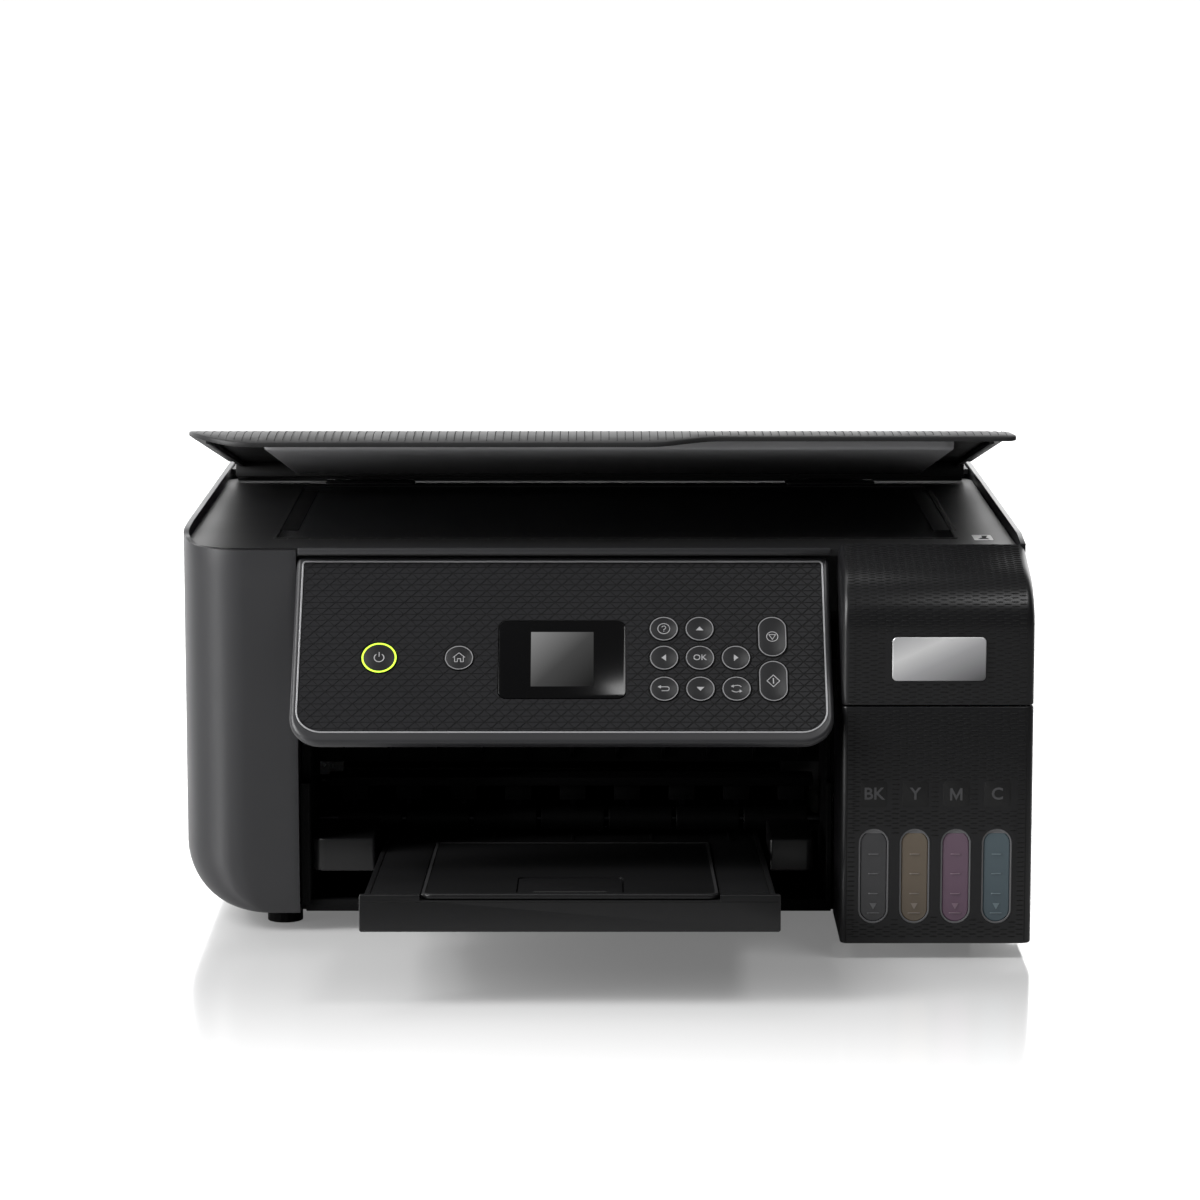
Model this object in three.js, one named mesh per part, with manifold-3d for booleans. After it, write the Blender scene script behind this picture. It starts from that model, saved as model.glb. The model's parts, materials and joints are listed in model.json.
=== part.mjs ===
// An ink-tank printer that also scans and copies, as an assembly of separate pieces.
//
// Millimetres. +X is to the user's right, +Y runs towards the back and +Z is up. Inside `printer` depth is
// counted from the front face of the ink tank unit, and the whole is then moved so that the origin is at the
// middle of the footprint, on the table. It is drawn with its lid ajar, its control panel tilted out and its
// output tray pulled out. Each piece is a closed solid, and neighbours keep a small gap.

import * as THREE from "three";
import { mergeVertices } from "three/addons/utils/BufferGeometryUtils.js";
import Module from "manifold-3d";

const wasm = await Module();
wasm.setup();

// ---------------------------------------------------------------------------- driving dimensions

const halfWidth = 187.5;        // the casing is 375 wide
const casingBack = 347;         // back of the rear cover
const bottom = 8;               // underside of the casing, above the table
const rim = 178;                // top of the side walls
const wall = 2.4;               // moulded wall
const gap = 0.35;               // clearance between touching pieces
const eps = 1;                  // how far a cutting tool runs past the face that it cuts
const boxMiddle = 132.115;      // middle of the whole depth, from tray lip to rear cover

const leftShell = { inner: -134, front: 48, cornerX: 30, cornerY: 30, roundX: 36, roundZ: 28 };
const tank = { left: 104.5, seam: 111.5, bottom: 6.7, back: 58, pitch: 17.8, centre: 145.4 };
const bed = { top: 173.2, plate: 2.8, front: 47.9, back: 296, half: 184.6 };
const glass = { x: [-145, 159], y: [83, 264], thick: 1.8 };
const lid = { hingeY: 295, hingeZ: 178, ajar: 10.3, length: 244.5, half: 184.6, top: 5.5, skin: 2.2 };
const panel = { hingeY: 51.7, hingeZ: 164.3, tilt: 42.3, x: [-133.7, 100.7], top: 3, length: 96.6, face: -5 };
const tray = { x: -12.5, lipY: -81.5, lipZ: 47, slope: 4.7, half: 85.6, lipHalf: 87.5, length: 232 };
const feeder = { x: -12.5, y: 288, z: 92, lean: 26, half: 108.5, length: 96, throat: 14 };
const exitRoller = { y: 112, z: 39, r: 5.5 };
const feedRoller = { y: 212, z: 37, r: 6 };
const carriage = { x: 128, half: 44, y: [130, 200], z: [46, 110] };
const belt = { y: [202, 207], z: 98, pulley: 6, motorX: 160, idlerX: -165 };
const chassis = { left: -176, right: 178, front: 124, back: 293, top: 135 };

const black = 0x1b1b1c;
const darkGrey = 0x2c2c2e;
const midGrey = 0x4a4a4d;
const steel = 0x9a9da0;

// ---------------------------------------------------------------------------- solids

// A closed three.js geometry as a solid that can be joined and cut.
function solidOf(geometry) {
  const bare = geometry.index ? geometry.toNonIndexed() : geometry.clone();
  bare.deleteAttribute("normal");
  bare.deleteAttribute("uv");
  const merged = mergeVertices(bare, 1e-4);
  return new wasm.Manifold(new wasm.Mesh({
    numProp: 3,
    vertProperties: Float32Array.from(merged.attributes.position.array),
    triVerts: Uint32Array.from(merged.index.array),
  }));
}

function block([x0, x1], [y0, y1], [z0, z1]) {
  const box = new THREE.BoxGeometry(x1 - x0, y1 - y0, z1 - z0);
  box.translate((x0 + x1) / 2, (y0 + y1) / 2, (z0 + z1) / 2);
  return solidOf(box);
}

const X = new THREE.Vector3(1, 0, 0);
const Y = new THREE.Vector3(0, 1, 0);
const Z = new THREE.Vector3(0, 0, 1);

// A flat outline pushed along an axis. Its two coordinates are (y, z), (x, z) or (x, y).
function prism(axis, shape, [from, to], curveSegments = 3) {
  const pushed = new THREE.ExtrudeGeometry(shape, { depth: to - from, bevelEnabled: false, curveSegments });
  const turn = new THREE.Matrix4();
  if (axis === "X") turn.makeBasis(Y, Z, X).setPosition(from, 0, 0);
  if (axis === "Y") turn.makeBasis(X, Z, Y.clone().negate()).setPosition(0, to, 0);
  if (axis === "Z") turn.setPosition(0, 0, from);
  return solidOf(pushed.applyMatrix4(turn));
}

// A round bar along an axis, centred on the other two coordinates.
function rod(axis, radius, [a, b], range, sides = 20) {
  const circle = new THREE.Shape();
  for (let i = 0; i < sides; i += 1) {
    const angle = (2 * Math.PI * (i + 0.5)) / sides;
    const point = [a + radius * Math.cos(angle), b + radius * Math.sin(angle)];
    if (i === 0) circle.moveTo(...point);
    else circle.lineTo(...point);
  }
  return prism(axis, circle, range);
}

function outline(points) {
  return new THREE.Shape(points.map(([u, v]) => new THREE.Vector2(u, v)));
}

// A rectangle whose corners are rounded: low-low, high-low, high-high and low-high.
function rounded([u0, u1], [v0, v1], [ll, hl, hh, lh]) {
  const shape = new THREE.Shape();
  const quarter = Math.PI / 2;
  shape.moveTo(u0 + ll, v0);
  shape.lineTo(u1 - hl, v0);
  if (hl) shape.absarc(u1 - hl, v0 + hl, hl, -quarter, 0);
  shape.lineTo(u1, v1 - hh);
  if (hh) shape.absarc(u1 - hh, v1 - hh, hh, 0, quarter);
  shape.lineTo(u0 + lh, v1);
  if (lh) shape.absarc(u0 + lh, v1 - lh, lh, quarter, 2 * quarter);
  shape.lineTo(u0, v0 + ll);
  if (ll) shape.absarc(u0 + ll, v0 + ll, ll, 2 * quarter, 3 * quarter);
  return shape;
}

// A skin through rings of equally many points, closed by flat ends.
function loft(rings) {
  const count = rings[0].length;
  const faces = THREE.ShapeUtils.triangulateShape(rings[0].map(([x, y]) => new THREE.Vector2(x, y)), []);
  const index = [];
  rings.slice(1).forEach((_, level) => {
    for (let i = 0; i < count; i += 1) {
      const a = level * count + i;
      const b = level * count + ((i + 1) % count);
      index.push(a, b, b + count, a, b + count, a + count);
    }
  });
  const last = (rings.length - 1) * count;
  faces.forEach(([a, b, c]) => index.push(a, c, b, last + a, last + b, last + c));
  const geometry = new THREE.BufferGeometry();
  geometry.setAttribute("position", new THREE.Float32BufferAttribute(rings.flat(2), 3));
  geometry.setIndex(index);
  return solidOf(geometry);
}

function joined(...solids) {
  return solids.reduce((whole, next) => whole.add(next));
}

// Puts a finished solid into the assembly as a named mesh.
function place(parent, name, solid, color, roughness = 0.5, metalness = 0) {
  const { vertProperties, triVerts, numProp } = solid.getMesh();
  const position = [];
  for (let i = 0; i < vertProperties.length; i += numProp) position.push(...vertProperties.slice(i, i + 3));
  const geometry = new THREE.BufferGeometry();
  geometry.setAttribute("position", new THREE.Float32BufferAttribute(position, 3));
  geometry.setIndex(Array.from(triVerts));
  geometry.computeVertexNormals();
  const mesh = new THREE.Mesh(geometry, new THREE.MeshStandardMaterial({ color, roughness, metalness }));
  mesh.name = name;
  parent.add(mesh);
}

// A group at a hinge or a sloping plane: turned about X by some degrees.
function tilted(parent, [x, y, z], degrees) {
  const group = new THREE.Group();
  group.position.set(x, y, z);
  group.rotation.x = THREE.MathUtils.degToRad(degrees);
  parent.add(group);
  return group;
}

const assembly = new THREE.Group();
const printer = new THREE.Group();
printer.position.y = -boxMiddle;
assembly.add(printer);

// ---------------------------------------------------------------------------- casing

// One level of the left shell's outside, or of its inside when `inset` is a wall's thickness.
function leftShellRing(z, inset) {
  const { inner, front, cornerX, cornerY, roundX, roundZ } = leftShell;
  const below = Math.max(0, (roundZ - (z - bottom)) / roundZ);
  const sweep = 1 - Math.sqrt(1 - Math.min(1, below) ** 2);
  const draft = (rim - z) * 0.0044;
  const left = -halfWidth + draft + roundX * sweep + inset;
  const face = front + 5 * sweep + inset;
  const [rx, ry] = [cornerX - 14 * sweep - inset, cornerY - 6 * sweep - inset];
  const back = casingBack - inset;
  const right = inset ? inner - wall : inner;
  const ring = [[right, back, z]];
  for (let i = 0; i <= 3; i += 1) {
    const angle = Math.PI / 2 + (i * Math.PI) / 6;
    ring.push([left + 12 + 12 * Math.cos(angle), back - 12 + 12 * Math.sin(angle), z]);
  }
  for (let i = 0; i <= 8; i += 1) {
    const angle = Math.PI + (i * Math.PI) / 16;
    ring.push([left + rx + rx * Math.cos(angle), face + ry + ry * Math.sin(angle), z]);
  }
  ring.push([right, face, z]);
  return ring;
}

function leftShellSkin(levels, inset) {
  return loft(levels.map((z) => leftShellRing(z, inset)));
}

function makeLeftShell() {
  const curve = [0, 0.06, 0.2, 0.42, 0.7, 1].map((t) => bottom + leftShell.roundZ * t);
  const outside = leftShellSkin([...curve, rim], 0);
  const inside = leftShellSkin([bottom + wall, ...curve.slice(2), rim + eps], wall);
  const frontDrop = outline([[40, 173], [62, 173.4], [72, 175], [80, 177.2], [90, rim], [90, 190], [40, 190]]);
  return outside
    .subtract(inside)
    .subtract(prism("X", frontDrop, [-halfWidth - eps, -100]))
    .subtract(block([leftShell.inner - wall - eps, -100], [72, casingBack - wall], [0, 190]))
    .subtract(block([leftShell.inner - wall - eps, -100], [50.6, 73], [139, 190]))
    .subtract(block([-153, -100], [58, casingBack - wall], [0, bottom + 5]))
    .subtract(block([leftShell.inner - wall - eps, -100], [casingBack - 20, 400], [0, 190]))
    .subtract(block([-172.2, -100], [casingBack - 10, 400], [rim - 4, 190]));
}

function makeRightShell() {
  const section = new THREE.Shape();
  section.moveTo(halfWidth, rim);
  section.lineTo(halfWidth - wall, rim);
  section.lineTo(halfWidth - wall, bottom + 8);
  section.absarc(halfWidth - 8, bottom + 8, 8 - wall, 0, -Math.PI / 2, true);
  section.lineTo(170, bottom + wall);
  section.lineTo(170, bottom);
  section.lineTo(halfWidth - 8, bottom);
  section.absarc(halfWidth - 8, bottom + 8, 8, -Math.PI / 2, 0);
  const side = outline([[tank.back + gap, 0], [casingBack, 0], [casingBack, rim + 2], [66, rim + 2], [62, rim],
    [50, 176.5], [47.6, 175.7], [47.6, tank.seam + 0.8], [tank.back + gap, tank.seam + 0.8]]);
  const plan = rounded([100, halfWidth], [40, casingBack], [0, 0, 12, 0]);
  const back = rounded([160, halfWidth], [casingBack - 12, casingBack], [0, 0, 12, 0]);
  const hollow = rounded([100, halfWidth - wall], [0, casingBack - wall], [0, 0, 12 - wall, 0]);
  const corner = prism("Z", back, [bottom + 9, rim]).subtract(prism("Z", hollow, [0, 200]));
  return joined(prism("Y", section, [40, casingBack]), corner)
    .intersect(prism("X", side, [100, 200]))
    .intersect(prism("Z", plan, [0, 200]))
    .subtract(block([100, 172], [300, 400], [bottom + 9, 200]));
}

function makeBasePan() {
  const [x, y] = [[-151, 169.5], [60.5, 342]];
  let pan = block(x, y, [bottom, bottom + 2.8]);
  pan = pan.add(block(x, [y[1] - wall, y[1]], [bottom, bottom + 10]));
  for (const rib of [-140, 90]) pan = pan.add(block([rib, rib + 2], [130, 330], [bottom + 2, bottom + 4.8]));
  for (const [fx, fy] of [[-142.5, 76], [160, 76], [-142.5, 318], [160, 318]]) {
    pan = pan.add(rod("Z", 8, [fx, fy], [0, bottom + 1], 16));
  }
  return pan;
}

function makeRearCover() {
  const deckPlan = rounded([-184, 184], [303, casingBack - wall - 0.6], [0, 0, 12, 12]);
  const deckLevels = [rim - 3.4, rim - 1];
  const deck = prism("Z", deckPlan, deckLevels)
    .add(block([-171.7, 171.7], [casingBack - wall - 1, casingBack], deckLevels));
  const back = block([-137, 171.7], [casingBack - wall, casingBack], [bottom + 3, rim - 3]);
  const slot = block([feeder.x - 113, feeder.x + 113], [309, 337], [rim - 8, rim + 2]);
  const inlet = block([112, 144], [casingBack - 5, casingBack + 5], [24, 48]);
  const port = block([-108, -92], [casingBack - 5, casingBack + 5], [30, 46]);
  let cover = deck.add(back).subtract(slot).subtract(inlet).subtract(port);
  for (let x = -60; x <= 60; x += 12) {
    cover = cover.subtract(block([x, x + 5], [casingBack - 5, casingBack + 5], [60, 84]));
  }
  return cover;
}

place(printer, "left_shell", makeLeftShell(), darkGrey, 0.45);
place(printer, "right_shell", makeRightShell(), black, 0.5);
place(printer, "base_pan", makeBasePan(), black, 0.7);
place(printer, "rear_cover", makeRearCover(), black, 0.6);

// ---------------------------------------------------------------------------- ink tank unit

const tankSlots = ["black", "yellow", "magenta", "cyan"];
const tankX = (slot) => tank.centre + (slot - 1.5) * tank.pitch;
const filler = { y: 34, top: 104, r: 5, bore: 3.1 };
const capHinge = { y: 53, z: 104.8 };

function makeTankHousing() {
  const plan = (inset) => rounded([tank.left + inset, halfWidth - inset], [inset, 90], [3, 4, 0, 0]);
  const ends = outline([[0, tank.bottom], [tank.back, tank.bottom], [tank.back, tank.seam], [0, tank.seam]]);
  let housing = prism("Z", plan(0), [tank.bottom, tank.seam])
    .subtract(prism("Z", plan(wall), [tank.bottom + 1.8, tank.seam + eps]))
    .intersect(prism("X", ends, [100, 190]));
  housing = housing.add(block([tank.left + 1, halfWidth - 1], [1, tank.back], [98, 100]));
  tankSlots.forEach((_, slot) => {
    const x = tankX(slot);
    const window = rounded([x - 6.65, x + 6.65], [15.6, 57.8], [6.6, 6.6, 6.6, 6.6]);
    housing = housing.subtract(prism("Y", window, [-5, 8])).subtract(rod("Z", 5.8, [x, filler.y], [90, 105], 16));
  });
  return housing;
}

function makeInkTank(slot) {
  const x = tankX(slot);
  const [y, z] = [[3, 118], [11.2, 96]];
  const inner = block([x - 6.8, x + 6.8], [y[0] + 1.4, y[1] - 1.4], [z[0] + 1.4, z[1] - 1.4]);
  const body = block([x - 8.2, x + 8.2], y, z).add(rod("Z", filler.r, [x, filler.y], [z[1] - 0.5, filler.top], 16));
  return body.subtract(inner).subtract(rod("Z", filler.bore, [x, filler.y], [z[1] - 3, filler.top + eps], 12));
}

function makeTankCap(slot) {
  const x = tankX(slot);
  const plate = rounded([x - 7.2, x + 7.2], [24, 50], [3, 3, 0, 0]);
  return joined(
    prism("Z", plate, [filler.top + 0.4, filler.top + 3.4], 3),
    rod("Z", filler.bore - 0.7, [x, filler.y], [filler.top - 1.1, filler.top + 1], 12),
    rod("X", 1.6, [capHinge.y, capHinge.z + 0.6], [x - 6, x + 6], 12),
    block([x - 5, x + 5], [48, 52.5], [filler.top + 0.4, filler.top + 2.4]),
  );
}

function makeTankCover() {
  const side = [[0, tank.seam + 0.8], [0, 145], [0.7, 150], [2.2, 154.2], [5, 158], [9, 161.9], [14, 165],
    [24, 168.4], [36, 171.6], [47.1, 175.6]];
  const rearBottom = [47.1, tank.seam + 0.8];
  const outside = prism("X", outline([...side, rearBottom]), [tank.left, halfWidth])
    .intersect(prism("Z", rounded([tank.left, halfWidth], [0, 90], [3, 4, 0, 0]), [100, 200]));
  const inset = side.map(([y, z], i) => [y + wall, i ? z - wall : z - 5]);
  const hollow = outline([...inset, [60, 173.2], [60, 100]]);
  return outside.subtract(prism("X", hollow, [tank.left + wall, halfWidth - wall]));
}

const inkColors = [0x202022, 0x8a7a58, 0x7d4c68, 0x4d6f80];
place(printer, "tank_housing", makeTankHousing(), black, 0.45);
tankSlots.forEach((ink, slot) => {
  place(printer, `ink_tank_${ink}`, makeInkTank(slot), inkColors[slot], 0.25);
  place(printer, `tank_cap_${ink}`, makeTankCap(slot), inkColors[slot], 0.5);
});
place(printer, "tank_cover", makeTankCover(), black, 0.45);

// ---------------------------------------------------------------------------- scanner unit

const scanRod = [173.5, 152];                          // the rod that the scan bar slides on, under the glass

function makeScannerFrame() {
  const [low, high] = [bed.top - bed.plate, bed.top];
  const plan = rounded([-bed.half, bed.half], [50.9, bed.back], [27.2, 0, 8, 8]);
  let frame = prism("Z", plan, [low, high]);
  frame = frame.add(block([-133.5, bed.half], [bed.front, 60], [low, high]));
  frame = frame.add(block([-170, 165], [70, 278], [142, low + 1]));
  frame = frame.subtract(block([-168, 163], [72, 276], [144, low]));
  frame = frame.add(rod("X", 3, scanRod, [-169, 164], 12));
  frame = frame.subtract(block([glass.x[0] + 3, glass.x[1] - 3], [glass.y[0] + 3, glass.y[1] - 3], [150, 200]));
  const seat = high - glass.thick - gap;
  const [gx, gy] = [[glass.x[0] - gap, glass.x[1] + gap], [glass.y[0] - gap, glass.y[1] + gap]];
  frame = frame.subtract(block(gx, gy, [seat, 200]));
  for (const side of [-1, 1]) {
    for (const x of [96, 127]) {
      const ear = outline([[289, high - 1], [297.6, high - 1], [297.6, 180], [295, 182], [291, 180]]);
      const from = side * (x + 2) - 2;
      frame = frame.add(prism("X", ear, [from, from + 4]).intersect(block([-200, 200], [200, 298], [0, 300])));
    }
  }
  return frame;
}

const [glassLow, glassHigh] = [bed.top - glass.thick, bed.top];
const scanBarX = [-142, -124];
place(printer, "scanner_frame", makeScannerFrame(), black, 0.5);
place(printer, "scanner_glass", block(glass.x, glass.y, [glassLow, glassHigh]), 0x101113, 0.08);
place(printer, "front_trim", block([-133, 101.5], [bed.front - 2.6, bed.front - 0.3], [171, 174]), midGrey, 0.35);
const scanBar = block(scanBarX, [88, 259], [152, 169])
  .add(block([scanBarX[0] + 5, scanBarX[1] - 5], [92, 255], [168, 170.4]))
  .subtract(rod("X", 3.4, scanRod, [-200, 0], 12));
place(printer, "scan_bar", scanBar, 0x3a3a3d, 0.5);

// ---------------------------------------------------------------------------- lid

const lidUnit = tilted(printer, [0, lid.hingeY, lid.hingeZ], -lid.ajar);

// The lid's outline from above. The front edge steps back towards the right in a shallow S.
function lidPlan(inset) {
  const { half, length } = lid;
  const step = 9.5;
  const [side, front] = [half - inset, -length + inset];
  const [across, along] = [31 - inset, 40 - inset];
  const shape = new THREE.Shape();
  shape.moveTo(-side, -7 - inset);
  shape.lineTo(-side, front + along);
  shape.absellipse(-side + across, front + along, across, along, Math.PI, 1.5 * Math.PI);
  shape.lineTo(22, front);
  shape.bezierCurveTo(36, front, 40, front + step, 54, front + step);
  shape.lineTo(side - 5, front + step);
  shape.lineTo(side, front + step + 5);
  shape.lineTo(side, -7 - inset);
  return shape;
}

// The lid's section from the side: a sheet that is flat, then falls in a wide arc to the front edge.
const fall = { radius: 110, run: 40 };
function lidSection(drop, low) {
  const { length, top } = lid;
  const angle = Math.asin((fall.run + eps) / fall.radius);
  const section = new THREE.Shape();
  section.moveTo(0, low);
  section.lineTo(0, top - drop);
  section.lineTo(-length + fall.run, top - drop);
  section.absarc(-length + fall.run, top - fall.radius - drop, fall.radius, Math.PI / 2, Math.PI / 2 + angle);
  section.lineTo(-length - eps, low);
  return section;
}

function makeLidCover() {
  const { half, top, skin } = lid;
  const sheet = prism("Z", lidPlan(0), [-20, 20])
    .intersect(prism("X", lidSection(0, -30), [-200, 200], 5))
    .subtract(prism("X", lidSection(skin, -40), [-200, 200], 5));
  const carrier = block([-146, 154], [-206, -28], [1.9, top - skin + 0.1]);
  const rear = block([-half + 6, half - 6], [-9.4, -7.2], [-1.5, top - skin + 0.1]);
  const sides = [-1, 1].map((side) => {
    const x = side * (half - 7);
    return block([x - 1.1, x + 1.1], [-190, -7.2], [0.8, top - skin + 0.1]);
  });
  const hinges = [-1, 1].map((side) => {
    const x = [side * 113.5 - 12, side * 113.5 + 12];
    return joined(rod("X", 2.8, [0, 0], x, 12), block(x, [-9, 0], [-1.5, 2.8]));
  });
  return joined(sheet, carrier, rear, ...sides, ...hinges);
}

const padPlan = rounded([-150, 158], [-222, -24], [6, 6, 6, 6]);
place(lidUnit, "lid_cover", makeLidCover(), black, 0.5);
place(lidUnit, "lid_pad", prism("Z", padPlan, [-3.8, 1.5]), darkGrey, 0.8);

// ---------------------------------------------------------------------------- control panel

const panelUnit = tilted(printer, [0, panel.hingeY, panel.hingeZ], -panel.tilt);
const down = (distance) => panel.top - distance;       // height of a point this far below the top edge

// A rectangle on the panel: the low corners are rounded more than the high ones.
function panelShape(inset, lowInset, radius) {
  const [left, right] = panel.x;
  return rounded([left + inset, right - inset], [down(panel.length - lowInset), down(inset)], [radius, radius, 2, 2]);
}

const buttons = {
  power: { x: -95.9, at: 53.3, r: 7.7 },
  home: { x: -61.2, at: 53.3, r: 6.2 },
  help: { x: 27.8, at: 38.3, r: 6.2 },
  up: { x: 43.4, at: 38.3, r: 6.2 },
  left: { x: 27.8, at: 53.3, r: 6.2 },
  ok: { x: 43.4, at: 53.3, r: 6.2 },
  right: { x: 59, at: 53.3, r: 6.2 },
  back: { x: 27.8, at: 69.2, r: 6.2 },
  down: { x: 43.4, at: 69.2, r: 6.2 },
  settings: { x: 59, at: 69.2, r: 6.2 },
  stop: { x: 75, at: 42.4, r: 6.2, rise: 4.1 },
  start: { x: 75, at: 65.2, r: 6.2, rise: 4.1 },
};
const display = { x: [-44, 11], at: [34, 74], radius: 3.5 };

// The outline of a button: a circle, or a capsule when its two ends are `rise` from the middle.
function buttonShape({ x, at, r, rise = 0 }, grow) {
  const shape = new THREE.Shape();
  shape.absarc(x, down(at) + rise, r + grow, 0, Math.PI);
  shape.absarc(x, down(at) - rise, r + grow, Math.PI, 2 * Math.PI);
  return shape;
}

function displayShape(grow) {
  const [left, right] = display.x;
  const [low, high] = [down(display.at[1]), down(display.at[0])];
  const radius = display.radius + grow;
  return rounded([left - grow, right + grow], [low - grow, high + grow], [radius, radius, radius, radius]);
}

function makePanelHousing() {
  const { face } = panel;
  const pivot = (x) => rod("X", 3, [0, 0], x, 12);
  return prism("Y", panelShape(0, 0, 14), [face, face + 14])
    .subtract(prism("Y", panelShape(2.5, 5, 11.5), [face - eps, face + 2.4]))
    .subtract(prism("Y", panelShape(5, 8, 9), [face, face + 11.6]))
    .add(joined(pivot([-132, -128]), pivot([95, 99])));
}

function makePanelFace() {
  const [from, to] = [panel.face + 0.25, panel.face + 2.05];
  let plate = prism("Y", panelShape(2.5 + gap, 5 + gap, 11.2), [from, to]);
  plate = plate.subtract(prism("Y", displayShape(gap), [from - eps, to + eps]));
  Object.values(buttons).forEach((button) => {
    plate = plate.subtract(prism("Y", buttonShape(button, gap), [from - eps, to + eps], 4));
  });
  return plate;
}

function makeButton(button) {
  const { face } = panel;
  return prism("Y", buttonShape(button, 0), [face - 0.2, face + 2.5], 4)
    .add(prism("Y", buttonShape(button, 0.8), [face + 2.45, face + 3.4], 4));
}

place(panelUnit, "panel_housing", makePanelHousing(), midGrey, 0.4);
place(panelUnit, "panel_face", makePanelFace(), 0x222224, 0.45);
place(panelUnit, "display_window", prism("Y", displayShape(0), [panel.face + 0.1, panel.face + 2.2]), 0x050506, 0.1);
Object.entries(buttons).forEach(([name, button]) => {
  place(panelUnit, `button_${name}`, makeButton(button), 0x29292b, 0.4);
});

// ---------------------------------------------------------------------------- paper path and mechanism

// The walls at both sides of the front opening, with the blocks that the tray runs between.
function makeFrontFrame() {
  const cheek = outline([[53, bottom + 4], [122, bottom + 4], [122, 138], [64, 138], [64, 67], [53, 67]]);
  const left = prism("X", cheek, [-131.6, -129.2]);
  const right = prism("X", cheek, [101, 103.4]);
  const blocks = [block([-131.6, -100.4], [53, 96], [27, 42]), block([75.8, 96], [53, 96], [27, 42])];
  const sill = block([-131.6, 103.4], [54, 58], [bottom + 0.6, bottom + 6]);
  const rightArm = block([95, 103.4], [66, 96], [27, 42]);
  const rear = block([-131.6, 103.4], [119.6, 122], [64, 138]);
  const bearing = rod("X", 3.2, [exitRoller.y, exitRoller.z], [-140, 110], 12);
  return joined(left, right, ...blocks, sill, rightArm, rear).subtract(bearing);
}

function makePlaten() {
  const profile = outline([[124.5, 33], [200, 27], [224, 27], [248, 47.5], [283.5, 84], [281.5, 86.2], [246, 52],
    [220.5, 43.4], [220.5, 30], [203.5, 30], [203.5, 41.5], [124.5, 41.5]]);
  let platen = prism("X", profile, [feeder.x - 112, feeder.x + 110]);
  for (let x = feeder.x - 108; x < feeder.x + 108; x += 12) {
    platen = platen.add(block([x, x + 1.6], [127, 201], [41, 43.4]));
  }
  return platen;
}

function makeChassis() {
  const side = outline([[chassis.front, 22], [chassis.back, 22], [chassis.back, 84], [250, chassis.top],
    [chassis.front, chassis.top]]);
  const frame = joined(
    prism("X", side, [chassis.left - 2, chassis.left]),
    prism("X", side, [chassis.right, chassis.right + 2]),
    block([chassis.left - 2, chassis.right + 2], [chassis.back - 2, chassis.back], [22, 84]),
  );
  return frame.subtract(rod("X", 3.2, [feedRoller.y, feedRoller.z], [-200, 200], 12));
}

// A folded sheet-metal rail that carries the carriage, notched for the motor's shaft.
function makeGuideRail() {
  const section = outline([[209, 72], [211, 72], [211, 123], [226, 123], [226, 125], [209, 125]]);
  const rail = prism("X", section, [chassis.left + gap, chassis.right - gap]);
  const idler = joined(
    rod("Y", 1.5, [belt.idlerX, belt.z], [201, 209], 12),
    block([belt.idlerX - 8, belt.idlerX + 8], [207.6, 209.4], [belt.z - 8, belt.z + 8]),
  );
  return rail.subtract(rod("Y", 3, [belt.motorX, belt.z], [200, 230], 12)).add(idler);
}

function makeCarriage() {
  const x = [carriage.x - carriage.half, carriage.x + carriage.half];
  const [z0, z1] = carriage.z;
  const body = rounded(x, [z0 + 8, z1], [3, 3, 8, 8]);
  return joined(
    prism("Y", body, carriage.y),
    block([x[0] + 14, x[1] - 14], [142, 186], [z0, z0 + 9]),
    block([x[0] + 20, x[1] - 20], [199, 208.6], [belt.z + 8.4, belt.z + 18]),
  );
}

// A flat loop round two wheels whose centres are `a` and `b`, seen along the wheels' axis.
function loop([a0, a1], [b0, b1], radius) {
  const lean = Math.atan2(b1 - a1, b0 - a0);
  const shape = new THREE.Shape();
  shape.absarc(b0, b1, radius, lean - Math.PI / 2, lean + Math.PI / 2);
  shape.absarc(a0, a1, radius, lean + Math.PI / 2, lean + 1.5 * Math.PI);
  return shape;
}

function makeBelt(axis, a, b, radius, range) {
  const outer = prism(axis, loop(a, b, radius + gap + 1.1), range, 5);
  return outer.subtract(prism(axis, loop(a, b, radius + gap), [range[0] - eps, range[1] + eps], 5));
}

function makePulley(x, bore) {
  const { y, z, pulley } = belt;
  return rod("Y", pulley, [x, z], y, 20).subtract(rod("Y", bore, [x, z], [y[0] - eps, y[1] + eps], 12));
}

const wheelX = [-173.5, -168.5];                       // where the paper-feed belt runs
function makeRoller({ y, z, r }, x, shaft, sides) {
  return joined(
    rod("X", r, [y, z], x, sides),
    rod("X", 2.6, [y, z], shaft, 12),
    rod("X", 9, [y, z], wheelX, 20),
  );
}

function makeStarWheelBar() {
  let bar = block([feeder.x - 112, feeder.x + 110], [102, 117], [56, 60]);
  for (let x = feeder.x - 100; x <= feeder.x + 100; x += 25) {
    bar = bar.add(block([x - 6, x + 6], [104, 117], [49, 57])).add(rod("X", 5, [110, 50.2], [x - 1, x + 1], 12));
  }
  return bar;
}

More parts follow.
